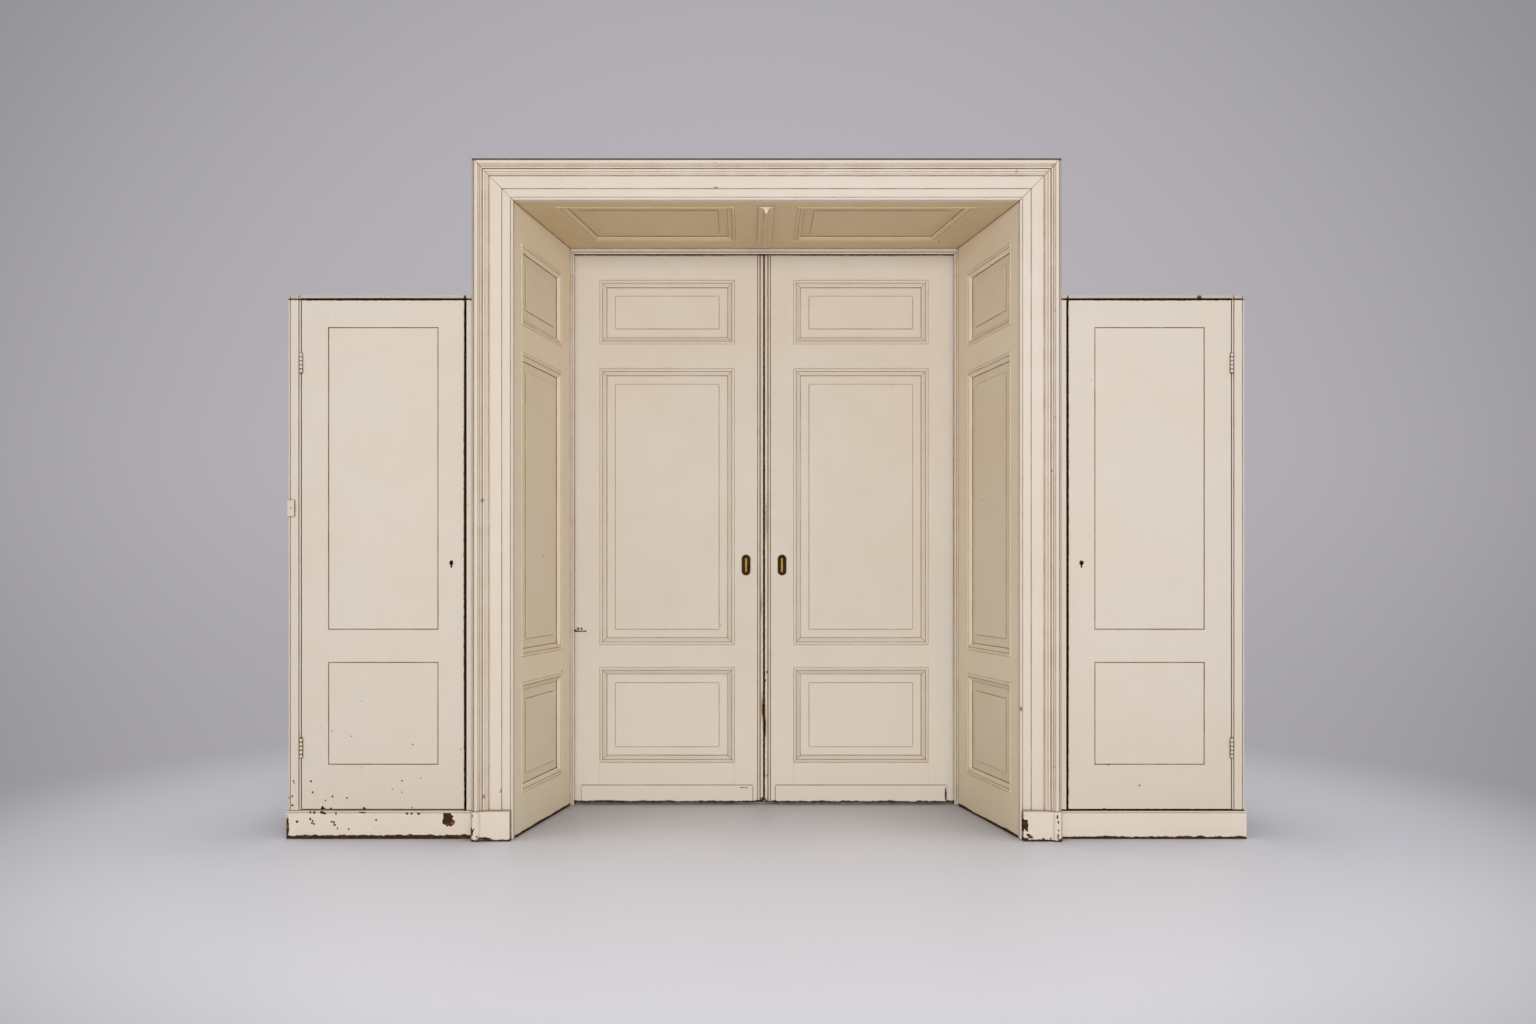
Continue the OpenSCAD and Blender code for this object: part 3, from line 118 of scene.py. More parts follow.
# The last row is painted shade: dark lines in the gaps above the leaves and between them
LEAF_CHIPS_AND_GAP_SHADE = (
    (-0.7870, 0.7560, 0.0045, 0.0045), (-0.8010, 0.7570, 0.0060, 0.0050), (-0.6830, 0.0125, 0.1000, 0.0065),
    (0.0125, 0.5700, 0.0036, 0.0046), (0.0050, 0.5330, 0.0032, 0.0062), (-0.0045, 0.4080, 0.0030, 0.0300),
    (0.0045, 0.3300, 0.0022, 0.0400), (-0.0070, 0.0180, 0.0080, 0.0100), (0.0070, 0.0150, 0.0060, 0.0070),
    (-0.0940, 0.0730, 0.0080, 0.0020), (-0.0770, 0.0730, 0.0060, 0.0018), (0.7810, 0.0450, 0.0035, 0.0300),
    (-0.4100, 2.3690, 0.9000, 0.0040), (0.4100, 2.3690, 0.9000, 0.0040), (0.0000, 0.8500, 0.0042, 1.7500),
)
# The last three rows: painted shade as dark lines in the gaps round the doors, and the worn keyholes
CUPBOARD_CHIPS_AND_GAP_SHADE = (
    (-1.6290, 0.1560, 0.0035, 0.0035), (-1.6560, 0.1420, 0.0030, 0.0030), (-1.7100, 0.2130, 0.0035, 0.0045),
    (-1.7040, 0.1720, 0.0035, 0.0035), (-1.5740, 0.1510, 0.0040, 0.0030), (-1.5100, 0.1120, 0.0060, 0.0040),
    (-1.7740, 0.2140, 0.0030, 0.0040), (-1.7790, 0.1570, 0.0030, 0.0040), (-1.7790, 0.1240, 0.0040, 0.0040),
    (-1.1312, 1.0650, 0.0054, 1.4000), (1.1312, 1.0650, 0.0045, 1.4000), (-1.4385, 2.0225, 0.5000, 0.0045),
    (1.4385, 2.0225, 0.5000, 0.0045), (1.4385, 0.1060, 0.5000, 0.0040), (-1.1830, 1.0335, 0.0085, 0.0090),
    (1.1830, 1.0335, 0.0085, 0.0090),
)
# Losses cut into the wood: middle across, middle up, half width, half height, and the depth of the face
SKIRTING_LOSSES = ((-1.1885, 0.0709, 0.0255, 0.0259, -0.325),)
PLINTH_LOSSES = (
    (-1.0885, 0.0360, 0.0100, 0.0150, -0.372), (0.9620, 0.0590, 0.0090, 0.0232, -0.366),
    (0.9748, 0.0200, 0.0150, 0.0102, -0.366),
)
LEAF_LOSSES = ((-0.7900, 0.7480, 0.0300, 0.0100, 0.303),)
CUPBOARD_LOSSES = ((-1.6500, 0.1160, 0.0300, 0.0090, -0.312),)
# Brown stains that fade out: middle across, middle up, half width, half height. The last four are painted shade:
# along the leaves' outer edges beside the stop bead, and under the stop bead's head
LEAF_STAINS_AND_EDGE_SHADE = (
    (-0.0080, 0.4200, 0.0120, 0.1300), (0.0060, 0.3400, 0.0080, 0.1500), (0.0000, 0.0200, 0.0340, 0.0260),
    (-0.0120, 0.8700, 0.0060, 0.1100), (0.0100, 1.2200, 0.0060, 0.1500), (-0.8180, 1.2000, 0.0050, 1.6000),
    (0.8180, 1.2000, 0.0050, 1.6000), (-0.4100, 2.3660, 0.9000, 0.0100), (0.4100, 2.3660, 0.9000, 0.0100),
)
# Outlines of the flush panels in the cupboard doors: middle across, middle up, half width, half height
FLUSH_PANELS = ((1.4385, 0.4685, 0.2055, 0.1915), (1.4385, 1.3505, 0.2055, 0.5665))
# Knuckles of the hinges: middle of a lower knuckle, and the height of one
KNUCKLES = (0.3390, 0.0152)

# Shares of red, green and blue that the cream keeps where it has yellowed
CLOUDED = (0.98, 0.96, 0.92)
MOTTLED = (0.97, 0.945, 0.90)
GREYED_PINE = (0.30, 0.25, 0.19)
# Dust and painted shade in the corners of the bare wood
CORNER_DUST_AND_SHADE = (0.06, 0.045, 0.03)
RUST = (0.11, 0.045, 0.018)

# Rounding of edges without paint, and the bend up to which faces shade as one curve
BOARD_EDGE = 0.0012
METAL_EDGE = 0.0003
SMOOTH_BELOW = math.radians(50)
BEVEL_ABOVE = math.radians(38)
FLAT_BELOW = math.radians(0.4)
WELD_REACH = 0.00001

# Hooks in the keyholes: the hole's place, how far the wire starts in the lock and passes in front of the door,
# then the radius of its bends, its run sideways, its drop and its tip
KEYHOLE_ACROSS, HOOK_HEIGHT = 1.183, 1.0190
HOOK_INSIDE, HOOK_CLEAR = 0.004, 0.0012
HOOK_BEND, HOOK_RUN, HOOK_DROP, HOOK_TIP = 0.0042, 0.0070, 0.0120, 0.0008
WIRE_SIDES, BEND_STEPS = 12, 7
# Radius of the round ends of the pulls
PULL_END = 0.0185

FLOOR_RADIUS = 60
SOFTBOX_SIZE, SOFTBOX_PLACE, SOFTBOX_TARGET = (6.0, 2.8), (0.2, -8.8, 2.2), (0, 0, 1.0)
SENSOR_WIDTH, CAMERA_SHIFT = 36, (0.013, 0.041)


def colour(name, about, value):
    """A colour that a user may change."""
    return FloatVectorProperty(name=name, description=about, subtype="COLOR", size=3, min=0, max=1, default=value)


def length(name, about, value):
    """A length that a user may change, in metres."""
    return FloatProperty(name=name, description=about, subtype="DISTANCE", unit="LENGTH", min=0, default=value)


def number(name, about, value):
    """A plain number that a user may change."""
    return FloatProperty(name=name, description=about, min=0, default=value)


class DividerPaint(bpy.types.PropertyGroup):
    """Colours and wear of the painted joinery"""

    front: colour("Front", "Cream paint on the front of the divider", (0.675, 0.602, 0.517))
    leaf: colour("Leaves", "Cream paint on the sliding leaves", (0.635, 0.562, 0.476))
    niche: colour("Niche", "Yellowed paint on the reveals", (0.757, 0.660, 0.505))
    soffit: colour("Soffit", "Darker yellowed paint on the soffit", (0.65, 0.522, 0.328))
    # The grime colour is also the colour of the painted shade in the quirks
    grime_and_shade: colour("Grime", "Old dirt that sits in the quirks", (0.31, 0.165, 0.050))
    # Painted shade: the near-black that fills deep gaps, together with dirt
    gap: colour("Gaps", "Black dirt deep in the gaps", (0.016, 0.006, 0.002))
    # The chip colour also paints the listed dark lines of painted shade in gaps
    chip: colour("Chips", "Darkened wood where the paint has come off", (0.046, 0.019, 0.006))
    fresh: colour("Fresh wood", "Lighter wood inside a large chip", (0.25, 0.120, 0.030))
    edge: length("Edge radius", "Rounding of the painted edges", 0.0008)
    reach: length("Dirt reach", "How far dirt spreads out of a corner", 0.005)
    gap_reach: length("Gap reach", "How deep a gap is before it is black", 0.030)
    nick_reach: length("Nick reach", "How far nicks reach in from an edge", 0.008)


class DividerMetal(bpy.types.PropertyGroup):
    """Colours of the wood and metal that carries no paint"""

    brass: colour("Brass", "Polished brass in the cups of the pulls", (0.140, 0.078, 0.018))
    # The patina colour is also painted shade on the side walls of the cups
    patina_and_shade: colour("Patina", "Dark film on the rims of the pulls", (0.026, 0.015, 0.005))
    steel: colour("Steel", "Dark steel of the rail, wheels and bolts", (0.16, 0.15, 0.14))
    lock: colour("Locks", "Black lacquer of the rim locks", (0.012, 0.010, 0.008))
    hook: colour("Hook", "Brown wire of the keyhole hooks", (0.10, 0.052, 0.016))
    pine: colour("Pine", "Bare softwood behind the front", (0.43, 0.27, 0.135))
    ring: colour("Grain", "Dark rings in the bare softwood", (0.24, 0.125, 0.05))
    hook_wire: length("Hook wire", "Radius of the hook wire", 0.0023)


class DividerStage(bpy.types.PropertyGroup):
    """Studio, lights and camera"""

    wall: colour("Background", "Grey of the studio background", (0.386, 0.375, 0.398))
    floor: colour("Floor", "Pale grey of the studio floor", (0.885, 0.890, 0.965))
    key_power: FloatProperty(name="Key power", description="Power of the large front light",
                             unit="POWER", default=460)
    sky: number("Fill strength", "Even light from all around", 0.28)
    zenith: number("Zenith strength", "Light that the fill gains towards the zenith", 0.38)
    camera_side: FloatProperty(name="Camera across", description="Camera place on X", unit="LENGTH", default=-0.069)
    camera_back: FloatProperty(name="Camera depth", description="Camera place on Y", unit="LENGTH", default=-4.472)
    camera_height: length("Camera height", "Camera place on Z", 0.988)
    lens: FloatProperty(name="Lens", description="Focal length in millimetres",
                        subtype="DISTANCE_CAMERA", default=25.97)


# Node trees

def put(tree, kind, inputs=None, **options):
    """Adds a node, sets its options, and sets or links its inputs by name or number."""
    made = tree.nodes.new(kind)
    for name, value in options.items():
        setattr(made, name, value)
    for key, value in (inputs or {}).items():
        if isinstance(value, bpy.types.NodeSocket):
            tree.links.new(value, made.inputs[key])
        else:
            made.inputs[key].default_value = value
    return made


def calc(tree, operation, a, b=0.0, clamp=False):
    """One step of arithmetic."""
    return put(tree, "ShaderNodeMath", {0: a, 1: b}, operation=operation, use_clamp=clamp).outputs[0]


def times(tree, a, b):
    return calc(tree, "MULTIPLY", a, b)


def larger(tree, a, b):
    return calc(tree, "MAXIMUM", a, b)


def minus(tree, a, b):
    return calc(tree, "SUBTRACT", a, b)


def off(tree, value, middle):
    """How far a value is from a middle, to either side."""
    return calc(tree, "ABSOLUTE", minus(tree, value, middle))


def blend(tree, share, a, b):
    """Goes from colour a to colour b as the share goes from 0 to 1."""
    return put(tree, "ShaderNodeMix", {0: share, 6: a, 7: b}, data_type="RGBA").outputs[2]


def ease(tree, value, low, high, start=0.0, end=1.0):
    """Goes smoothly from start to end as the value goes from low to high."""
    made = put(tree, "ShaderNodeMapRange", {0: value, 1: low, 2: high, 3: start, 4: end},
               interpolation_type="SMOOTHSTEP")
    return made.outputs[0]


def noise(tree, place, scale, detail=4.0, rough=0.55):
    """Soft random clouds."""
    made = put(tree, "ShaderNodeTexNoise", {"Vector": place, "Scale": scale, "Detail": detail, "Roughness": rough})
    return made.outputs[0]


def scaled(tree, place, scale, shift=(0, 0, 0)):
    """A place that is stretched and then shifted."""
    return put(tree, "ShaderNodeMapping", {"Vector": place, "Scale": scale, "Location": shift}).outputs[0]


def reach_of(tree, place):
    """The length of a vector."""
    return put(tree, "ShaderNodeVectorMath", {0: place}, operation="LENGTH").outputs["Value"]


def raised(tree, height, strength):
    """A normal that follows a height in metres."""
    return put(tree, "ShaderNodeBump", {"Strength": strength, "Distance": 1.0, "Height": height}).outputs[0]


def solid(rgb):
    """A colour with full cover."""
    return (*rgb, 1.0)


def tint(rgb, share):
    """A colour times one share, or times a share each for red, green and blue."""
    shares = share if isinstance(share, tuple) else (share,) * 3
    return [c * k for c, k in zip(rgb, shares)]


def new_material(name):
    """An empty node material, its tree, and its object coordinates as a vector and as X, Y and Z."""
    material = bpy.data.materials.new(name)
    material.use_nodes = True
    tree = material.node_tree
    tree.nodes.clear()
    place = put(tree, "ShaderNodeTexCoord").outputs["Object"]
    axes = put(tree, "ShaderNodeSeparateXYZ", {0: place}).outputs
    return material, tree, place, axes


def close(tree, inputs):
    """Ends a tree with one surface shader."""
    surface = put(tree, "ShaderNodeBsdfPrincipled", inputs)
    put(tree, "ShaderNodeOutputMaterial", {"Surface": surface.outputs[0]})


def hidden(tree, reach, samples=6, inside=False):
    """How much of the view from a point is blocked within a reach, outside or inside the piece."""
    made = put(tree, "ShaderNodeAmbientOcclusion", {"Distance": reach},
               samples=samples, inside=inside, only_local=inside)
    return minus(tree, 1.0, made.outputs["AO"])


# Wear of the paint

def chip_field(tree, place, marks_and_shade, ragged, rim=1.06, core=0.96):
    """1 inside the listed places and 0 outside, with ragged borders."""
    nearest = 9.0
    for across, up, half_w, half_h in marks_and_shade:
        inside = scaled(tree, place, (1 / half_w, 0, 1 / half_h), (-across / half_w, 0, -up / half_h))
        nearest = calc(tree, "MINIMUM", nearest, reach_of(tree, inside))
    return ease(tree, calc(tree, "ADD", nearest, ragged), rim, core)


def loss_field(tree, axes, losses):
    """1 on the floor and walls of the losses that are cut into the wood."""
    across, depth, up = axes
    field = 0.0
    for middle, height, half_w, half_h, face in losses:
        wide = calc(tree, "LESS_THAN", off(tree, across, middle), half_w)
        tall = calc(tree, "LESS_THAN", off(tree, up, height), half_h)
        deep = ease(tree, depth, face + 0.0007, face + 0.0010)
        field = larger(tree, field, times(tree, times(tree, wide, tall), deep))
    return field


def spots(tree, place, scale, size, share):
    """Scattered round spots, of which a share shows."""
    cells = put(tree, "ShaderNodeTexVoronoi", {"Vector": place, "Scale": scale})
    pick = put(tree, "ShaderNodeSeparateColor", {0: cells.outputs["Color"]}).outputs
    rim = times(tree, pick[1], size)
    spot = ease(tree, minus(tree, cells.outputs["Distance"], rim), 0.025, 0.0)
    return times(tree, spot, calc(tree, "LESS_THAN", pick[0], share))


def shaken(tree, place):
    """A place that wavers a little, so that spots get rough rims."""
    shake = put(tree, "ShaderNodeTexNoise", {"Vector": place, "Scale": 90.0, "Detail": 3.0}).outputs[1]
    shake = put(tree, "ShaderNodeVectorMath", {0: shake, 1: (0.007, 0.007, 0.007)}, operation="MULTIPLY").outputs[0]
    return put(tree, "ShaderNodeVectorMath", {0: place, 1: shake}, operation="ADD").outputs[0]


def panel_lines(tree, across, up, panels):
    """Thin lines round the flush panels, on both sides of the divider."""
    lines = 0.0
    for middle, height, half_w, half_h in panels:
        wide = minus(tree, off(tree, calc(tree, "ABSOLUTE", across), middle), half_w)
        tall = minus(tree, off(tree, up, height), half_h)
        lines = larger(tree, lines, ease(tree, off(tree, larger(tree, wide, tall), 0.0), 0.0032, 0.0010))
    return lines


def mitre_line(tree, across, up, corner, mottle):
    """The open joint that runs slantwise from a corner of the architrave, darker in places."""
    out = minus(tree, calc(tree, "ABSOLUTE", across), corner[0])
    joint = ease(tree, off(tree, out, minus(tree, up, corner[1])), 0.0022, 0.0007)
    return times(tree, joint, ease(tree, mottle, 0.3, 0.6, 0.45, 1.0))


def knuckle_rings(tree, up, middle, pitch):
    """Dark rings between the knuckles of a hinge: painted shade and dirt in the gaps between them."""
    turn = calc(tree, "FRACT", calc(tree, "DIVIDE", minus(tree, up, middle), pitch))
    return ease(tree, times(tree, off(tree, turn, 0.5), pitch), 0.0034, 0.0016)


def worn_foot(tree, place, across, up, heights):
    """1 along the floor, where the paint has worn off up to a wavy line."""
    wave = times(tree, noise(tree, scaled(tree, place, (34, 1, 6)), 1.0, 4.0, 0.65), 0.02)
    rise = calc(tree, "ADD", minus(tree, up, wave), 0.01)
    return ease(tree, minus(tree, rise, ease(tree, across, -1.1, 1.1, *heights)), 0.001, -0.001)


def cream_paint(name, paint, base, marks_and_shade=(), losses=(), dots=(0.02, 0.0, 1.0), nicks=0.3, foot=None, top=None,
                mitre=None, stains_and_shade=(), grime_and_shade=1.0, rub_and_highlight=1.13, end=None, painted_floor_light=None, panels=(), rings=None):
    """Old satin paint: yellowing, dirt and painted shade in the quirks, painted shade in deep gaps, painted
    highlights on edges, nicks, chip marks and a worn foot.

    marks_and_shade, losses, stains_and_shade, panels: places from the lists above, some of which are painted shade
    in gaps and along edges
    dots: share of small chips everywhere, share added at the floor, and the height at which that ends
    nicks: share of the nicks that show on edges
    foot: height of the worn foot at the left end and at the right end
    top: height of the top edge, and how strong the darker band and the chip marks along it are
    mitre: X and Z of the corner that the mitre joint runs from
    grime_and_shade: strength of the dirt and painted shade in the quirks
    rub_and_highlight: how much paler the edges are, as paint rubbed cleaner and as a painted highlight
    end: Y of the front end, which has the front's colour
    painted_floor_light: how much paler the paint is towards the floor, as painted light thrown back from the floor
    rings: middle of a hinge knuckle, and the height of one
    """
    material, tree, place, axes = new_material(name)
    across, depth, up = axes
    broad = noise(tree, place, 1.7, 3.0)
    mottle = noise(tree, place, 11.0, 5.0, 0.6)
    fine = noise(tree, place, 95.0, 4.0, 0.65)
    brush = noise(tree, scaled(tree, place, (130, 130, 4)), 1.0, 3.0, 0.6)
    patchy = ease(tree, mottle, 0.25, 0.7, 0.6, 1.0)
    edge = hidden(tree, paint.nick_reach, 3, True)
    quirk = hidden(tree, paint.reach, 4)

    # The coat itself, with painted highlights on edges and, where asked, painted light towards the floor
    tone = blend(tree, ease(tree, broad, 0.35, 0.7), solid(base), solid(tint(base, CLOUDED)))
    tone = blend(tree, ease(tree, mottle, 0.40, 0.75, 0.0, 0.3), tone, solid(tint(base, MOTTLED)))
    tone = blend(tree, ease(tree, brush, 0.45, 0.8, 0.0, 0.025), tone, solid(paint.grime_and_shade))
    # Painted light: the paint gets paler towards the floor, for light that the floor throws back
    if painted_floor_light is not None:
        tone = blend(tree, ease(tree, up, 0.9, 0.0), tone, solid(tint(base, painted_floor_light)))
    # Painted highlight on convex edges, where the paint is also rubbed cleaner
    rubbed_and_highlit = solid([min(1.0, c) for c in tint(base, rub_and_highlight)])
    tone = blend(tree, ease(tree, edge, 0.25, 0.6, 0.0, 0.7), tone, rubbed_and_highlit)
    if end is not None:
        tone = blend(tree, ease(tree, depth, end + 0.004, end + 0.001), tone, solid(paint.front))

    # Brown dirt and painted shade in quirks, dirt in joints, brown stains, painted shade along the leaf edges, and
    # a slightly darker tone towards the floor
    # Dirt and painted shade: brown where a quirk or corner hides the view within the dirt reach
    dirt_and_shade = calc(tree, "MULTIPLY", times(tree, ease(tree, quirk, 0.0, 0.32), patchy), grime_and_shade, clamp=True)
    if panels:
        dirt_and_shade = larger(tree, dirt_and_shade, times(tree, panel_lines(tree, across, up, panels), patchy))
    if mitre is not None:
        dirt_and_shade = larger(tree, dirt_and_shade, mitre_line(tree, across, up, mitre, mottle))
    # Brown stains, and painted shade along the leaf edges and under the stop bead
    if stains_and_shade:
        smear = times(tree, noise(tree, scaled(tree, place, (150, 150, 14)), 1.0, 4.0, 0.7), 1.3)
        dirt_and_shade = larger(tree, dirt_and_shade, chip_field(tree, place, stains_and_shade, smear, 1.5, 0.5))
    dirt_and_shade = larger(tree, dirt_and_shade, times(tree, ease(tree, up, 0.25, 0.0, 0.0, 0.03), patchy))
    tone = blend(tree, dirt_and_shade, tone, solid(paint.grime_and_shade))

    # Darker dirt and painted shade deep in the quirks, a darker band on the top edge, painted shade and dirt
    # between knuckles, and painted shade that makes deep gaps black
    # Painted shade and dirt, darker still in the deepest quirks
    deep = times(tree, ease(tree, quirk, 0.5, 1.0, 0.0, 0.6), patchy)
    if top is not None:
        wavy = calc(tree, "ADD", up, times(tree, mottle, 0.003))
        deep = larger(tree, deep, ease(tree, wavy, top[0] - 0.011, top[0] - 0.0085, 0.0, top[1]))
    # Painted shade and dirt in the gaps between the knuckles
    if rings is not None:
        deep = larger(tree, deep, times(tree, knuckle_rings(tree, up, *rings), patchy))
    tone = blend(tree, deep, tone, solid(tint(paint.grime_and_shade, 0.3)))
    # Painted shade: black where a deep gap hides the view within the gap reach
    tone = blend(tree, ease(tree, hidden(tree, paint.gap_reach, 3), 0.80, 0.97), tone, solid(paint.gap))

    # Nicks, dots and chip marks down to the wood, and the listed dark lines of painted shade in gaps
    rough_place = shaken(tree, place)
    chipped_and_gap_shade = times(tree, spots(tree, rough_place, 15.0, 0.13, nicks), ease(tree, edge, 0.20, 0.30))
    crowd = times(tree, ease(tree, up, dots[2], 0.0, 0.0, dots[1]), ease(tree, across, 0.9, -1.5, 0.12, 1.0))
    share = calc(tree, "ADD", crowd, dots[0])
    chipped_and_gap_shade = larger(tree, chipped_and_gap_shade, spots(tree, rough_place, 27.0, 0.085, share))
    if dots[1]:
        share = times(tree, crowd, ease(tree, mottle, 0.42, 0.60))
        chipped_and_gap_shade = larger(tree, chipped_and_gap_shade, spots(tree, rough_place, 52.0, 0.14, share))
    if top is not None:
        rim = ease(tree, up, top[0] - 0.017, top[0] - 0.014)
        chipped_and_gap_shade = larger(tree, chipped_and_gap_shade, times(tree, spots(tree, rough_place, 13.0, 0.11, top[1] * 0.75), rim))
    if marks_and_shade:
        ragged = times(tree, minus(tree, noise(tree, place, 150.0, 3.0, 0.7), 0.5), 1.8)
        chipped_and_gap_shade = larger(tree, chipped_and_gap_shade, chip_field(tree, place, marks_and_shade, ragged))
    if losses:
        chipped_and_gap_shade = larger(tree, chipped_and_gap_shade, loss_field(tree, axes, losses))
    grain = noise(tree, scaled(tree, place, (45, 45, 130)), 1.0, 4.0, 0.6)
    # Bare wood, which also colours the listed lines of painted shade in gaps
    bare_wood_and_gap_shade = blend(tree, ease(tree, grain, 0.50, 0.71), solid(paint.chip), solid(paint.fresh))
    if foot is not None:
        worn = worn_foot(tree, place, across, up, foot)
        chipped_and_gap_shade = larger(tree, chipped_and_gap_shade, worn)
        bare_wood_and_gap_shade = blend(tree, times(tree, worn, 0.7), bare_wood_and_gap_shade, solid(paint.chip))
    tone = blend(tree, chipped_and_gap_shade, tone, bare_wood_and_gap_shade)

    gloss = larger(tree, ease(tree, mottle, 0.3, 0.7, 0.40, 0.54), times(tree, chipped_and_gap_shade, 0.85))
    relief = calc(tree, "ADD", times(tree, brush, 0.00010), times(tree, fine, 0.00005))
    relief = minus(tree, relief, times(tree, chipped_and_gap_shade, 0.0007))
    close(tree, {"Base Color": tone, "Roughness": gloss, "Specular IOR Level": 0.13,
                 "Normal": raised(tree, relief, 0.7)})
    return material


# Wood and metal without paint

def bare_pine(name, metal, upright):
    """Unpainted softwood with its grain along the boards."""
    material, tree, place, _ = new_material(name)
    stretch = (9, 9, 0.7) if upright else (0.7, 9, 9)
    warp = noise(tree, scaled(tree, place, stretch), 1.6, 4.0)
    rings = put(tree, "ShaderNodeTexWave", {
        "Vector": scaled(tree, place, tuple(3.2 * s for s in stretch)), "Scale": 1.0, "Distortion": 6.0,
        "Detail": 3.0, "Detail Scale": 0.8}, bands_direction="X" if upright else "Z").outputs["Fac"]
    fibre = noise(tree, scaled(tree, place, tuple(38 * s for s in stretch)), 1.0, 3.0, 0.7)
    age = noise(tree, place, 2.4, 4.0)
    corner = hidden(tree, 0.05, 4)
    tone = blend(tree, ease(tree, rings, 0.2, 0.95, 0.0, 0.7), solid(metal.pine), solid(metal.ring))
    tone = blend(tree, ease(tree, warp, 0.35, 0.75, 0.0, 0.45), tone, solid(metal.ring))
    tone = blend(tree, ease(tree, fibre, 0.5, 0.8, 0.0, 0.30), tone, solid(tint(metal.ring, 0.5)))
    tone = blend(tree, ease(tree, age, 0.4, 0.75, 0.0, 0.35), tone, solid(GREYED_PINE))
    # Dust and painted shade: darker where a corner hides the view within 5 cm
    tone = blend(tree, ease(tree, corner, 0.2, 1.0, 0.0, 0.55), tone, solid(CORNER_DUST_AND_SHADE))
    relief = times(tree, calc(tree, "ADD", rings, fibre), 0.0002)
    close(tree, {"Base Color": tone, "Roughness": ease(tree, fibre, 0.3, 0.8, 0.62, 0.85),
                 "Specular IOR Level": 0.25, "Normal": raised(tree, relief, 0.6)})
    return material


def aged_brass(name, metal):
    """Brass that fingers keep bright in the cup and that has gone dark round the rim, with painted shade on the
    cup's side walls.
    """
    material, tree, place, (across, _, up) = new_material(name)
    low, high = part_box(PULLS[1])
    middle, half_h = (low + high) / 2, (high.z - low.z) / 2
    cloud = noise(tree, place, 160.0, 4.0, 0.6)
    side = off(tree, calc(tree, "ABSOLUTE", across), middle.x)
    out = larger(tree, side, minus(tree, off(tree, up, middle.z), half_h - PULL_END))
    # Patina on the rim and painted shade on the cup's side walls: dark beyond a few millimetres from the middle
    film_and_shade = ease(tree, calc(tree, "ADD", out, times(tree, cloud, 0.004)), 0.0048, 0.0072)
    film_and_shade = times(tree, film_and_shade, ease(tree, out, PULL_END - 0.002, PULL_END, 1.0, 0.72))
    tone = blend(tree, ease(tree, cloud, 0.4, 0.7, 0.0, 0.4), solid(metal.brass), solid(tint(metal.brass, 0.6)))
    tone = blend(tree, film_and_shade, tone, solid(metal.patina_and_shade))
    close(tree, {"Base Color": tone, "Metallic": 1.0, "Roughness": ease(tree, film_and_shade, 0.0, 1.0, 0.36, 0.52),
                 "Normal": raised(tree, times(tree, cloud, 0.0001), 0.5)})
    return material


def dark_steel(name, rgb, shine=0.9):
    """Worn dark steel with a little rust."""
    material, tree, place, _ = new_material(name)
    cloud = noise(tree, place, 45.0, 5.0, 0.65)
    rust = ease(tree, noise(tree, place, 18.0, 5.0, 0.7), 0.52, 0.72, 0.0, 0.8)
    tone = blend(tree, ease(tree, cloud, 0.35, 0.7), solid(rgb), solid(tint(rgb, 0.55)))
    tone = blend(tree, rust, tone, solid(RUST))
    close(tree, {"Base Color": tone, "Metallic": calc(tree, "SUBTRACT", shine, rust, clamp=True),
                 "Roughness": ease(tree, cloud, 0.3, 0.7, 0.38, 0.62),
                 "Normal": raised(tree, times(tree, cloud, 0.0002), 0.6)})
    return material


# Pieces

def smooth_faces(angle):
    """Geometry nodes that shade faces smooth across edges flatter than the angle."""
    tree = bpy.data.node_groups.new("soft_shading", "GeometryNodeTree")
    for way in ("INPUT", "OUTPUT"):
        tree.interface.new_socket("Geometry", in_out=way, socket_type="NodeSocketGeometry")
    start = put(tree, "NodeGroupInput")
    bend = put(tree, "GeometryNodeInputMeshEdgeAngle").outputs[0]
    sharp = put(tree, "FunctionNodeCompare", {0: bend, 1: angle}, operation="GREATER_THAN").outputs[0]
    made = put(tree, "GeometryNodeSetMeshNormal",
               {"Mesh": start.outputs[0], "Remove Custom": True, "Edge Sharpness": sharp}, mode="SHARPNESS")
    put(tree, "NodeGroupOutput", {0: made.outputs[0]})
    return tree


def soften(node, radius, shading):
    """Rounds a piece's edges and shades its curves smooth, with the CAD mesh as it is."""
    piece = NODES[node]
    weld = piece.modifiers.new("join_faces", "WELD")
    weld.merge_threshold = WELD_REACH
    flat = piece.modifiers.new("plain_faces", "DECIMATE")
    flat.decimate_type = "DISSOLVE"
    flat.angle_limit = FLAT_BELOW
    bevel = piece.modifiers.new("soft_edges", "BEVEL")
    bevel.width = radius
    bevel.segments = 2
    bevel.limit_method = "ANGLE"
    bevel.angle_limit = BEVEL_ABOVE
    bevel.miter_outer = "MITER_ARC"
    smooth = piece.modifiers.new("soft_shading", "NODES")
    smooth.node_group = shading
    weighted = piece.modifiers.new("flat_fields", "WEIGHTED_NORMAL")
    weighted.keep_sharp = True


def cover(nodes, material):
    """Gives pieces one material."""
    for node in nodes:
        slots = NODES[node].data.materials
        slots.clear()
        slots.append(material)


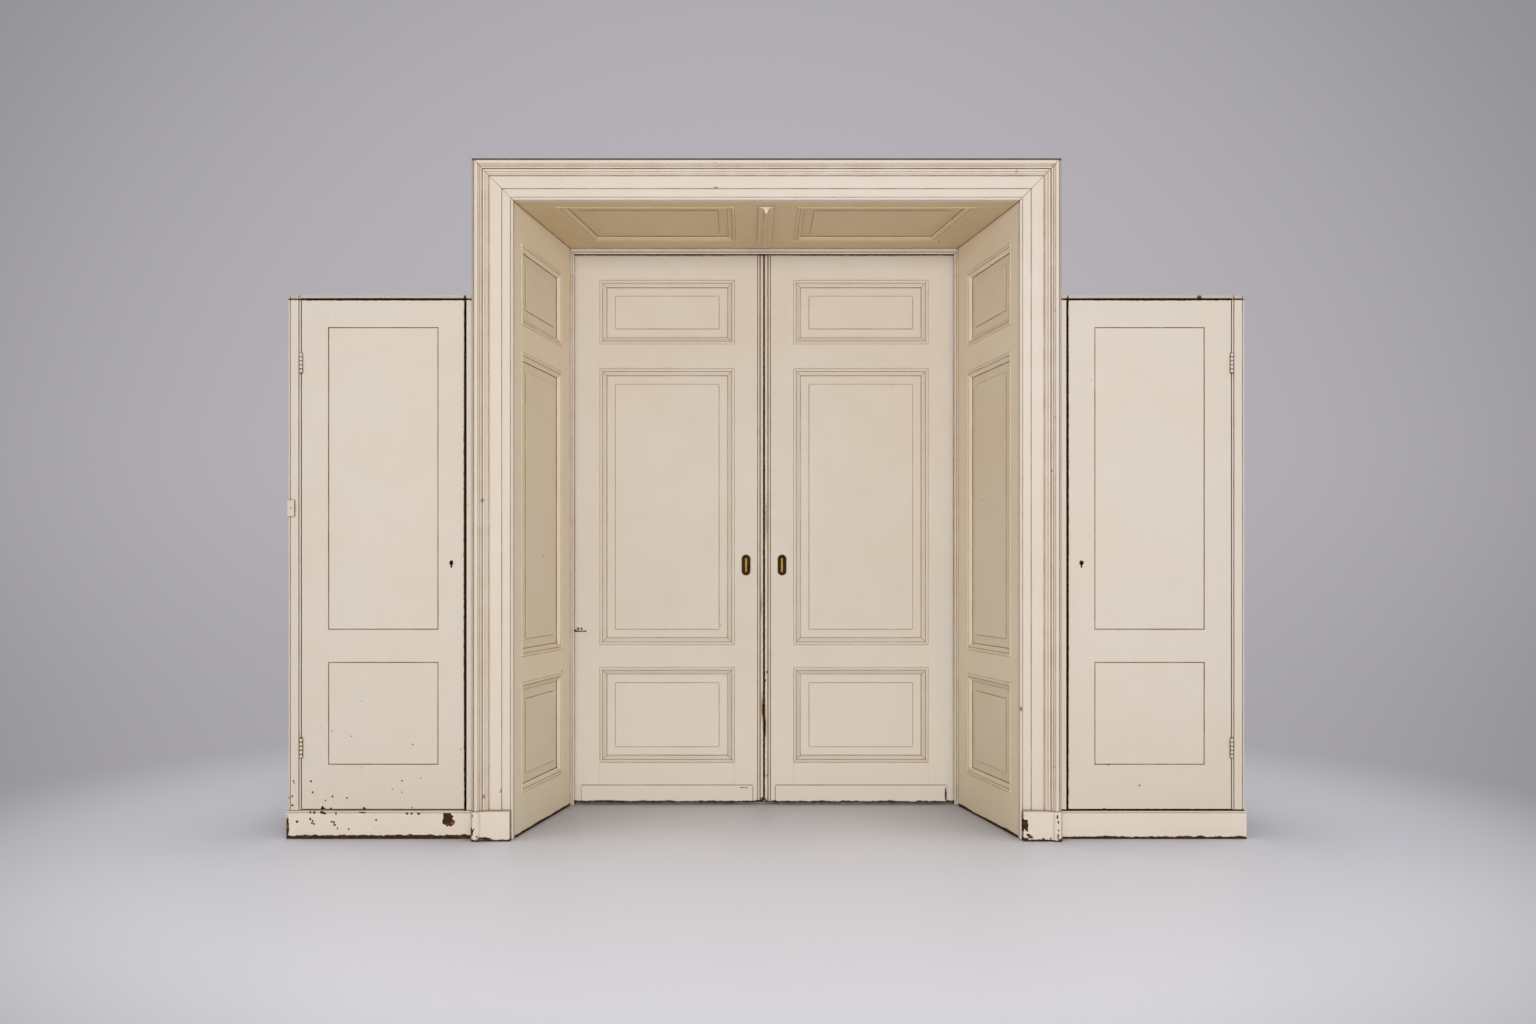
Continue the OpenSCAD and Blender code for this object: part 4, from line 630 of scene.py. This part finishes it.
def bent_hook(name, side, wire):
    """A bent wire that comes out of a keyhole and hangs down beside it."""
    sign = -1 if side == "left" else 1
    door_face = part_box(f"{side}_cupboard_door_frame")[0].y
    lock_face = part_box(f"{side}_cupboard_lock")[0].y
    key_x = sign * KEYHOLE_ACROSS
    start = Vector((key_x, lock_face + HOOK_INSIDE, HOOK_HEIGHT))
    bm = bmesh.new()
    made = bmesh.ops.create_circle(bm, cap_ends=True, radius=wire, segments=WIRE_SIDES)
    bmesh.ops.rotate(bm, verts=made["verts"], cent=(0, 0, 0), matrix=Matrix.Rotation(math.radians(90), 3, "X"))
    bmesh.ops.translate(bm, verts=made["verts"], vec=start)
    end = list(bm.faces)

    def run(step):
        out = bmesh.ops.extrude_face_region(bm, geom=end)["geom"]
        verts = [v for v in out if isinstance(v, bmesh.types.BMVert)]
        bmesh.ops.translate(bm, verts=verts, vec=step)
        return [f for f in out if isinstance(f, bmesh.types.BMFace)]

    def turn(centre, axis, degrees):
        out = bmesh.ops.spin(bm, geom=end, cent=centre, axis=axis, angle=math.radians(degrees), steps=BEND_STEPS,
                             dvec=(0, 0, 0), use_duplicate=False)["geom_last"]
        return [f for f in out if isinstance(f, bmesh.types.BMFace)]

    front = door_face - HOOK_CLEAR
    end = run((0, front - start.y, 0))
    end = turn((key_x + sign * HOOK_BEND, front, start.z), (0, 0, 1), -90 * sign)
    end = run((sign * HOOK_RUN, 0, 0))
    corner = key_x + sign * (HOOK_BEND + HOOK_RUN)
    end = turn((corner, front - HOOK_BEND, start.z - HOOK_BEND), (0, 1, 0), 90 * sign)
    end = run((0, 0, -HOOK_DROP))
    tip = run((0, 0, -HOOK_TIP))
    bmesh.ops.scale(bm, vec=(0.6, 0.6, 1), verts=list(tip[0].verts),
                    space=Matrix.Translation(-tip[0].calc_center_median()))
    bmesh.ops.remove_doubles(bm, verts=bm.verts[:], dist=WELD_REACH)
    bmesh.ops.recalc_face_normals(bm, faces=bm.faces[:])
    for face in bm.faces:
        face.smooth = len(face.verts) == 4
    mesh = bpy.data.meshes.new(name)
    bm.to_mesh(mesh)
    bm.free()
    hook = bpy.data.objects.new(name, mesh)
    bpy.context.scene.collection.objects.link(hook)
    return hook


class DIVIDER_OT_paint_joinery(bpy.types.Operator):
    """Paint the architrave, niche, leaves, cupboards and skirtings"""

    bl_idname = "divider.paint_joinery"
    bl_label = "Paint the joinery"

    def execute(self, context):
        paint = context.scene.divider_paint
        shading = smooth_faces(SMOOTH_BELOW)
        front, leaf, niche, soffit = paint.front, paint.leaf, paint.niche, paint.soffit
        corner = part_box("architrave_head")[1]
        cupboard_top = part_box("left_cupboard_front")[1].z
        groups = (
            (ARCHITRAVE, cream_paint("cream_architrave", paint, front, nicks=0.30, top=(CAD_BOX[1].z, 0.92),
                                     mitre=(corner.x, corner.z))),
            (PLINTHS, cream_paint("cream_plinths", paint, tint(front, 1.05), PLINTH_CHIPS, PLINTH_LOSSES,
                                  foot=(0.0085, 0.0085))),
            (SKIRTINGS, cream_paint("cream_skirtings", paint, tint(front, 1.07), SKIRTING_CHIPS, SKIRTING_LOSSES,
                                    (0.02, 0.28, 0.2), foot=(0.015, 0.010))),
            (REVEAL_FRAMES, cream_paint("cream_reveal_frames", paint, tint(niche, 1.07), foot=(0.011, 0.011),
                                        rub_and_highlight=1.2)),
            (REVEAL_PANELS, cream_paint("cream_reveal_panels", paint, niche, rub_and_highlight=1.3)),
            (SOFFIT, cream_paint("cream_soffit", paint, soffit, dots=(0.0, 0.0, 1.0), nicks=0.1, grime_and_shade=0.6,
                                 rub_and_highlight=1.5)),
            (KEEL, cream_paint("cream_keel", paint, soffit, dots=(0.0, 0.0, 1.0), nicks=0.1, grime_and_shade=0.6,
                               end=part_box("soffit_keel")[0].y)),
            (LEAVES, cream_paint("cream_leaves", paint, leaf, LEAF_CHIPS_AND_GAP_SHADE, LEAF_LOSSES, foot=(0.0165, 0.0165),
                                 stains_and_shade=LEAF_STAINS_AND_EDGE_SHADE, painted_floor_light=1.12)),
            (KICK_BOARDS, cream_paint("cream_kick_boards", paint, leaf, LEAF_CHIPS_AND_GAP_SHADE, foot=(0.0165, 0.0165),
                                      stains_and_shade=LEAF_STAINS_AND_EDGE_SHADE, painted_floor_light=1.12)),
            (CUPBOARDS, cream_paint("cream_cupboards", paint, tint(front, 0.955), CUPBOARD_CHIPS_AND_GAP_SHADE, CUPBOARD_LOSSES,
                                    (0.02, 0.30, 0.60), nicks=0.42, top=(cupboard_top, 0.30), panels=FLUSH_PANELS)),
            (REVEAL_MOULDINGS, cream_paint("cream_reveal_mouldings", paint, niche, nicks=0.0, rub_and_highlight=1.35)),
            (LEAF_MOULDINGS, cream_paint("cream_leaf_mouldings", paint, leaf, nicks=0.0)),
            (REAR, cream_paint("cream_rear", paint, leaf, foot=(0.004, 0.004))),
        )
        for nodes, material in groups:
            cover(nodes, material)
            for node in nodes:
                soften(node, paint.edge, shading)
        return {"FINISHED"}


class DIVIDER_OT_show_bare_wood(bpy.types.Operator):
    """Give the posts, lintels, boards and shelves their bare wood"""

    bl_idname = "divider.show_bare_wood"
    bl_label = "Show the bare wood"

    def execute(self, context):
        metal = context.scene.divider_metal
        shading = smooth_faces(SMOOTH_BELOW)
        cover(UPRIGHT_BOARDS, bare_pine("pine_upright", metal, True))
        cover(LEVEL_BOARDS, bare_pine("pine_level", metal, False))
        for node in UPRIGHT_BOARDS + LEVEL_BOARDS:
            soften(node, BOARD_EDGE, shading)
        return {"FINISHED"}


class DIVIDER_OT_finish_metal(bpy.types.Operator):
    """Give the pulls, hinges, plate, rail, wheels and locks their metal"""

    bl_idname = "divider.finish_metal"
    bl_label = "Finish the metal"

    def execute(self, context):
        paint, metal = context.scene.divider_paint, context.scene.divider_metal
        shading = smooth_faces(SMOOTH_BELOW)
        cover(PULLS, aged_brass("aged_brass", metal))
        iron = tint(paint.front, 0.92)
        cover(HINGES, cream_paint("cream_hinges", paint, iron, dots=(0.25, 0.0, 1.0), nicks=0.5, rings=KNUCKLES))
        cover(PLATE, cream_paint("cream_plate", paint, iron, dots=(0.06, 0.0, 1.0), nicks=0.4))
        cover(DARK_STEEL, dark_steel("dark_steel", metal.steel))
        cover(BLACK_LOCKS, dark_steel("black_locks", metal.lock, 0.2))
        for node in PULLS + HINGES + PLATE:
            soften(node, METAL_EDGE, shading)
        return {"FINISHED"}


class DIVIDER_OT_bend_hooks(bpy.types.Operator):
    """Bend the wire hooks that stick out of the two keyholes"""

    bl_idname = "divider.bend_hooks"
    bl_label = "Bend the keyhole hooks"

    def execute(self, context):
        metal = context.scene.divider_metal
        finish = dark_steel("hook_wire", metal.hook, 0.3)
        for side in SIDES:
            hook = bent_hook(f"{side}_keyhole_hook", side, metal.hook_wire)
            hook.data.materials.append(finish)
            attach(hook, f"{side}_cupboard_door")
        return {"FINISHED"}


class DIVIDER_OT_set_stage(bpy.types.Operator):
    """Set up the floor, the background, the light and the camera"""

    bl_idname = "divider.set_stage"
    bl_label = "Set the stage"

    def execute(self, context):
        scene, stage = context.scene, context.scene.divider_stage
        self.lay_floor(scene, stage)
        self.light(scene, stage)
        self.aim_camera(scene, stage)
        scene.view_settings.view_transform = "Standard"
        return {"FINISHED"}

    def seen(self, tree):
        """1 for rays that show the background itself."""
        ray = put(tree, "ShaderNodeLightPath").outputs
        shown = larger(tree, ray["Is Camera Ray"], ray["Is Glossy Ray"])
        return larger(tree, shown, ray["Is Transmission Ray"])

    def backdrop(self, tree, stage, across, away, up):
        """Grey that falls off round the middle of the front view, from three components of a direction."""
        away = larger(tree, calc(tree, "ABSOLUTE", away), 0.01)
        side = calc(tree, "DIVIDE", across, away)
        rise = calc(tree, "DIVIDE", up, away)
        spread = calc(tree, "ADD", times(tree, side, side), times(tree, rise, rise))
        # Painted light: the grey is brightest round the middle and falls off towards the sides and below
        level = times(tree, ease(tree, spread, 0.0, 0.9, 1.21, 0.73), ease(tree, rise, -0.16, 0.14, 0.88, 1.0))
        return put(tree, "ShaderNodeVectorMath", {0: stage.wall, 3: level}, operation="SCALE").outputs[0]

    def lay_floor(self, scene, stage):
        """A wide pale floor with a soft shadow, which turns into the background further out."""
        bm = bmesh.new()
        bmesh.ops.create_circle(bm, cap_ends=True, radius=FLOOR_RADIUS, segments=96)
        mesh = bpy.data.meshes.new("studio_floor")
        bm.to_mesh(mesh)
        bm.free()
        floor = bpy.data.objects.new("studio_floor", mesh)
        scene.collection.objects.link(floor)
        material, tree, place, (across, depth, _) = new_material("studio_floor")
        far = ease(tree, reach_of(tree, scaled(tree, place, (0.88, 1, 0))), 1.9, 3.3)
        # Painted shadow: the floor is darker where the divider hides its view within 1.3 m
        shade = blend(tree, ease(tree, hidden(tree, 1.3, 4), 0.15, 0.75), solid(stage.floor),
                      solid(tint(stage.floor, 0.44)))
        near = put(tree, "ShaderNodeBsdfPrincipled",
                   {"Base Color": shade, "Roughness": 0.42, "Specular IOR Level": 0.25}).outputs[0]
        grey = self.backdrop(tree, stage, minus(tree, across, stage.camera_side),
                             minus(tree, depth, stage.camera_back), -stage.camera_height)
        wall = put(tree, "ShaderNodeEmission", {"Color": grey, "Strength": 1.0}).outputs[0]
        hide = times(tree, far, self.seen(tree))
        mixed = put(tree, "ShaderNodeMixShader", {0: hide, 1: near, 2: wall}).outputs[0]
        put(tree, "ShaderNodeOutputMaterial", {"Surface": mixed})
        mesh.materials.append(material)

    def light(self, scene, stage):
        """Even light from all around, stronger from above, and one large softbox in front."""
        world = bpy.data.worlds.new("studio")
        world.use_nodes = True
        tree = world.node_tree
        tree.nodes.clear()
        view = put(tree, "ShaderNodeSeparateXYZ", {0: put(tree, "ShaderNodeTexCoord").outputs["Generated"]}).outputs
        strength = ease(tree, view[2], 0.0, 1.0, stage.sky, stage.sky + stage.zenith)
        fill = put(tree, "ShaderNodeBackground", {"Color": (1, 1, 1, 1), "Strength": strength}).outputs[0]
        grey = self.backdrop(tree, stage, *view)
        wall = put(tree, "ShaderNodeBackground", {"Color": grey, "Strength": 1.0}).outputs[0]
        mixed = put(tree, "ShaderNodeMixShader", {0: self.seen(tree), 1: fill, 2: wall}).outputs[0]
        put(tree, "ShaderNodeOutputWorld", {"Surface": mixed})
        scene.world = world
        lamp = bpy.data.lights.new("front_softbox", "AREA")
        lamp.shape = "RECTANGLE"
        lamp.size, lamp.size_y = SOFTBOX_SIZE
        lamp.energy = stage.key_power
        box = bpy.data.objects.new("front_softbox", lamp)
        box.location = SOFTBOX_PLACE
        box.rotation_euler = (Vector(SOFTBOX_TARGET) - box.location).to_track_quat("-Z", "Y").to_euler()
        scene.collection.objects.link(box)

    def aim_camera(self, scene, stage):
        """A level camera straight in front."""
        data = bpy.data.cameras.new("photo_view")
        data.sensor_fit = "HORIZONTAL"
        data.sensor_width = SENSOR_WIDTH
        data.lens = stage.lens
        data.shift_x, data.shift_y = CAMERA_SHIFT
        camera = bpy.data.objects.new("photo_view", data)
        camera.location = (stage.camera_side, stage.camera_back, stage.camera_height)
        camera.rotation_euler = (math.radians(90), 0, 0)
        scene.collection.objects.link(camera)
        scene.camera = camera


class DIVIDER_PT_finishes(bpy.types.Panel):
    """Lists the steps and the values of the finishes"""

    bl_idname = "DIVIDER_PT_finishes"
    bl_label = "Room divider"
    bl_space_type = "VIEW_3D"
    bl_region_type = "UI"
    bl_category = "Divider"

    def draw(self, context):
        for step in STEPS:
            self.layout.operator(step.bl_idname)
        for group in (context.scene.divider_paint, context.scene.divider_metal, context.scene.divider_stage):
            box = self.layout.box()
            for name in group.__annotations__:
                box.prop(group, name)


STEPS = (
    DIVIDER_OT_paint_joinery,
    DIVIDER_OT_show_bare_wood,
    DIVIDER_OT_finish_metal,
    DIVIDER_OT_bend_hooks,
    DIVIDER_OT_set_stage,
)
CLASSES = (DividerPaint, DividerMetal, DividerStage, *STEPS, DIVIDER_PT_finishes)


def register():
    for item in CLASSES:
        bpy.utils.register_class(item)
    bpy.types.Scene.divider_paint = PointerProperty(type=DividerPaint)
    bpy.types.Scene.divider_metal = PointerProperty(type=DividerMetal)
    bpy.types.Scene.divider_stage = PointerProperty(type=DividerStage)


def unregister():
    del bpy.types.Scene.divider_stage
    del bpy.types.Scene.divider_metal
    del bpy.types.Scene.divider_paint
    for item in reversed(CLASSES):
        bpy.utils.unregister_class(item)


def main():
    register()
    bpy.ops.divider.paint_joinery()
    bpy.ops.divider.show_bare_wood()
    bpy.ops.divider.finish_metal()
    bpy.ops.divider.bend_hooks()
    bpy.ops.divider.set_stage()


if __name__ == "__main__":
    main()
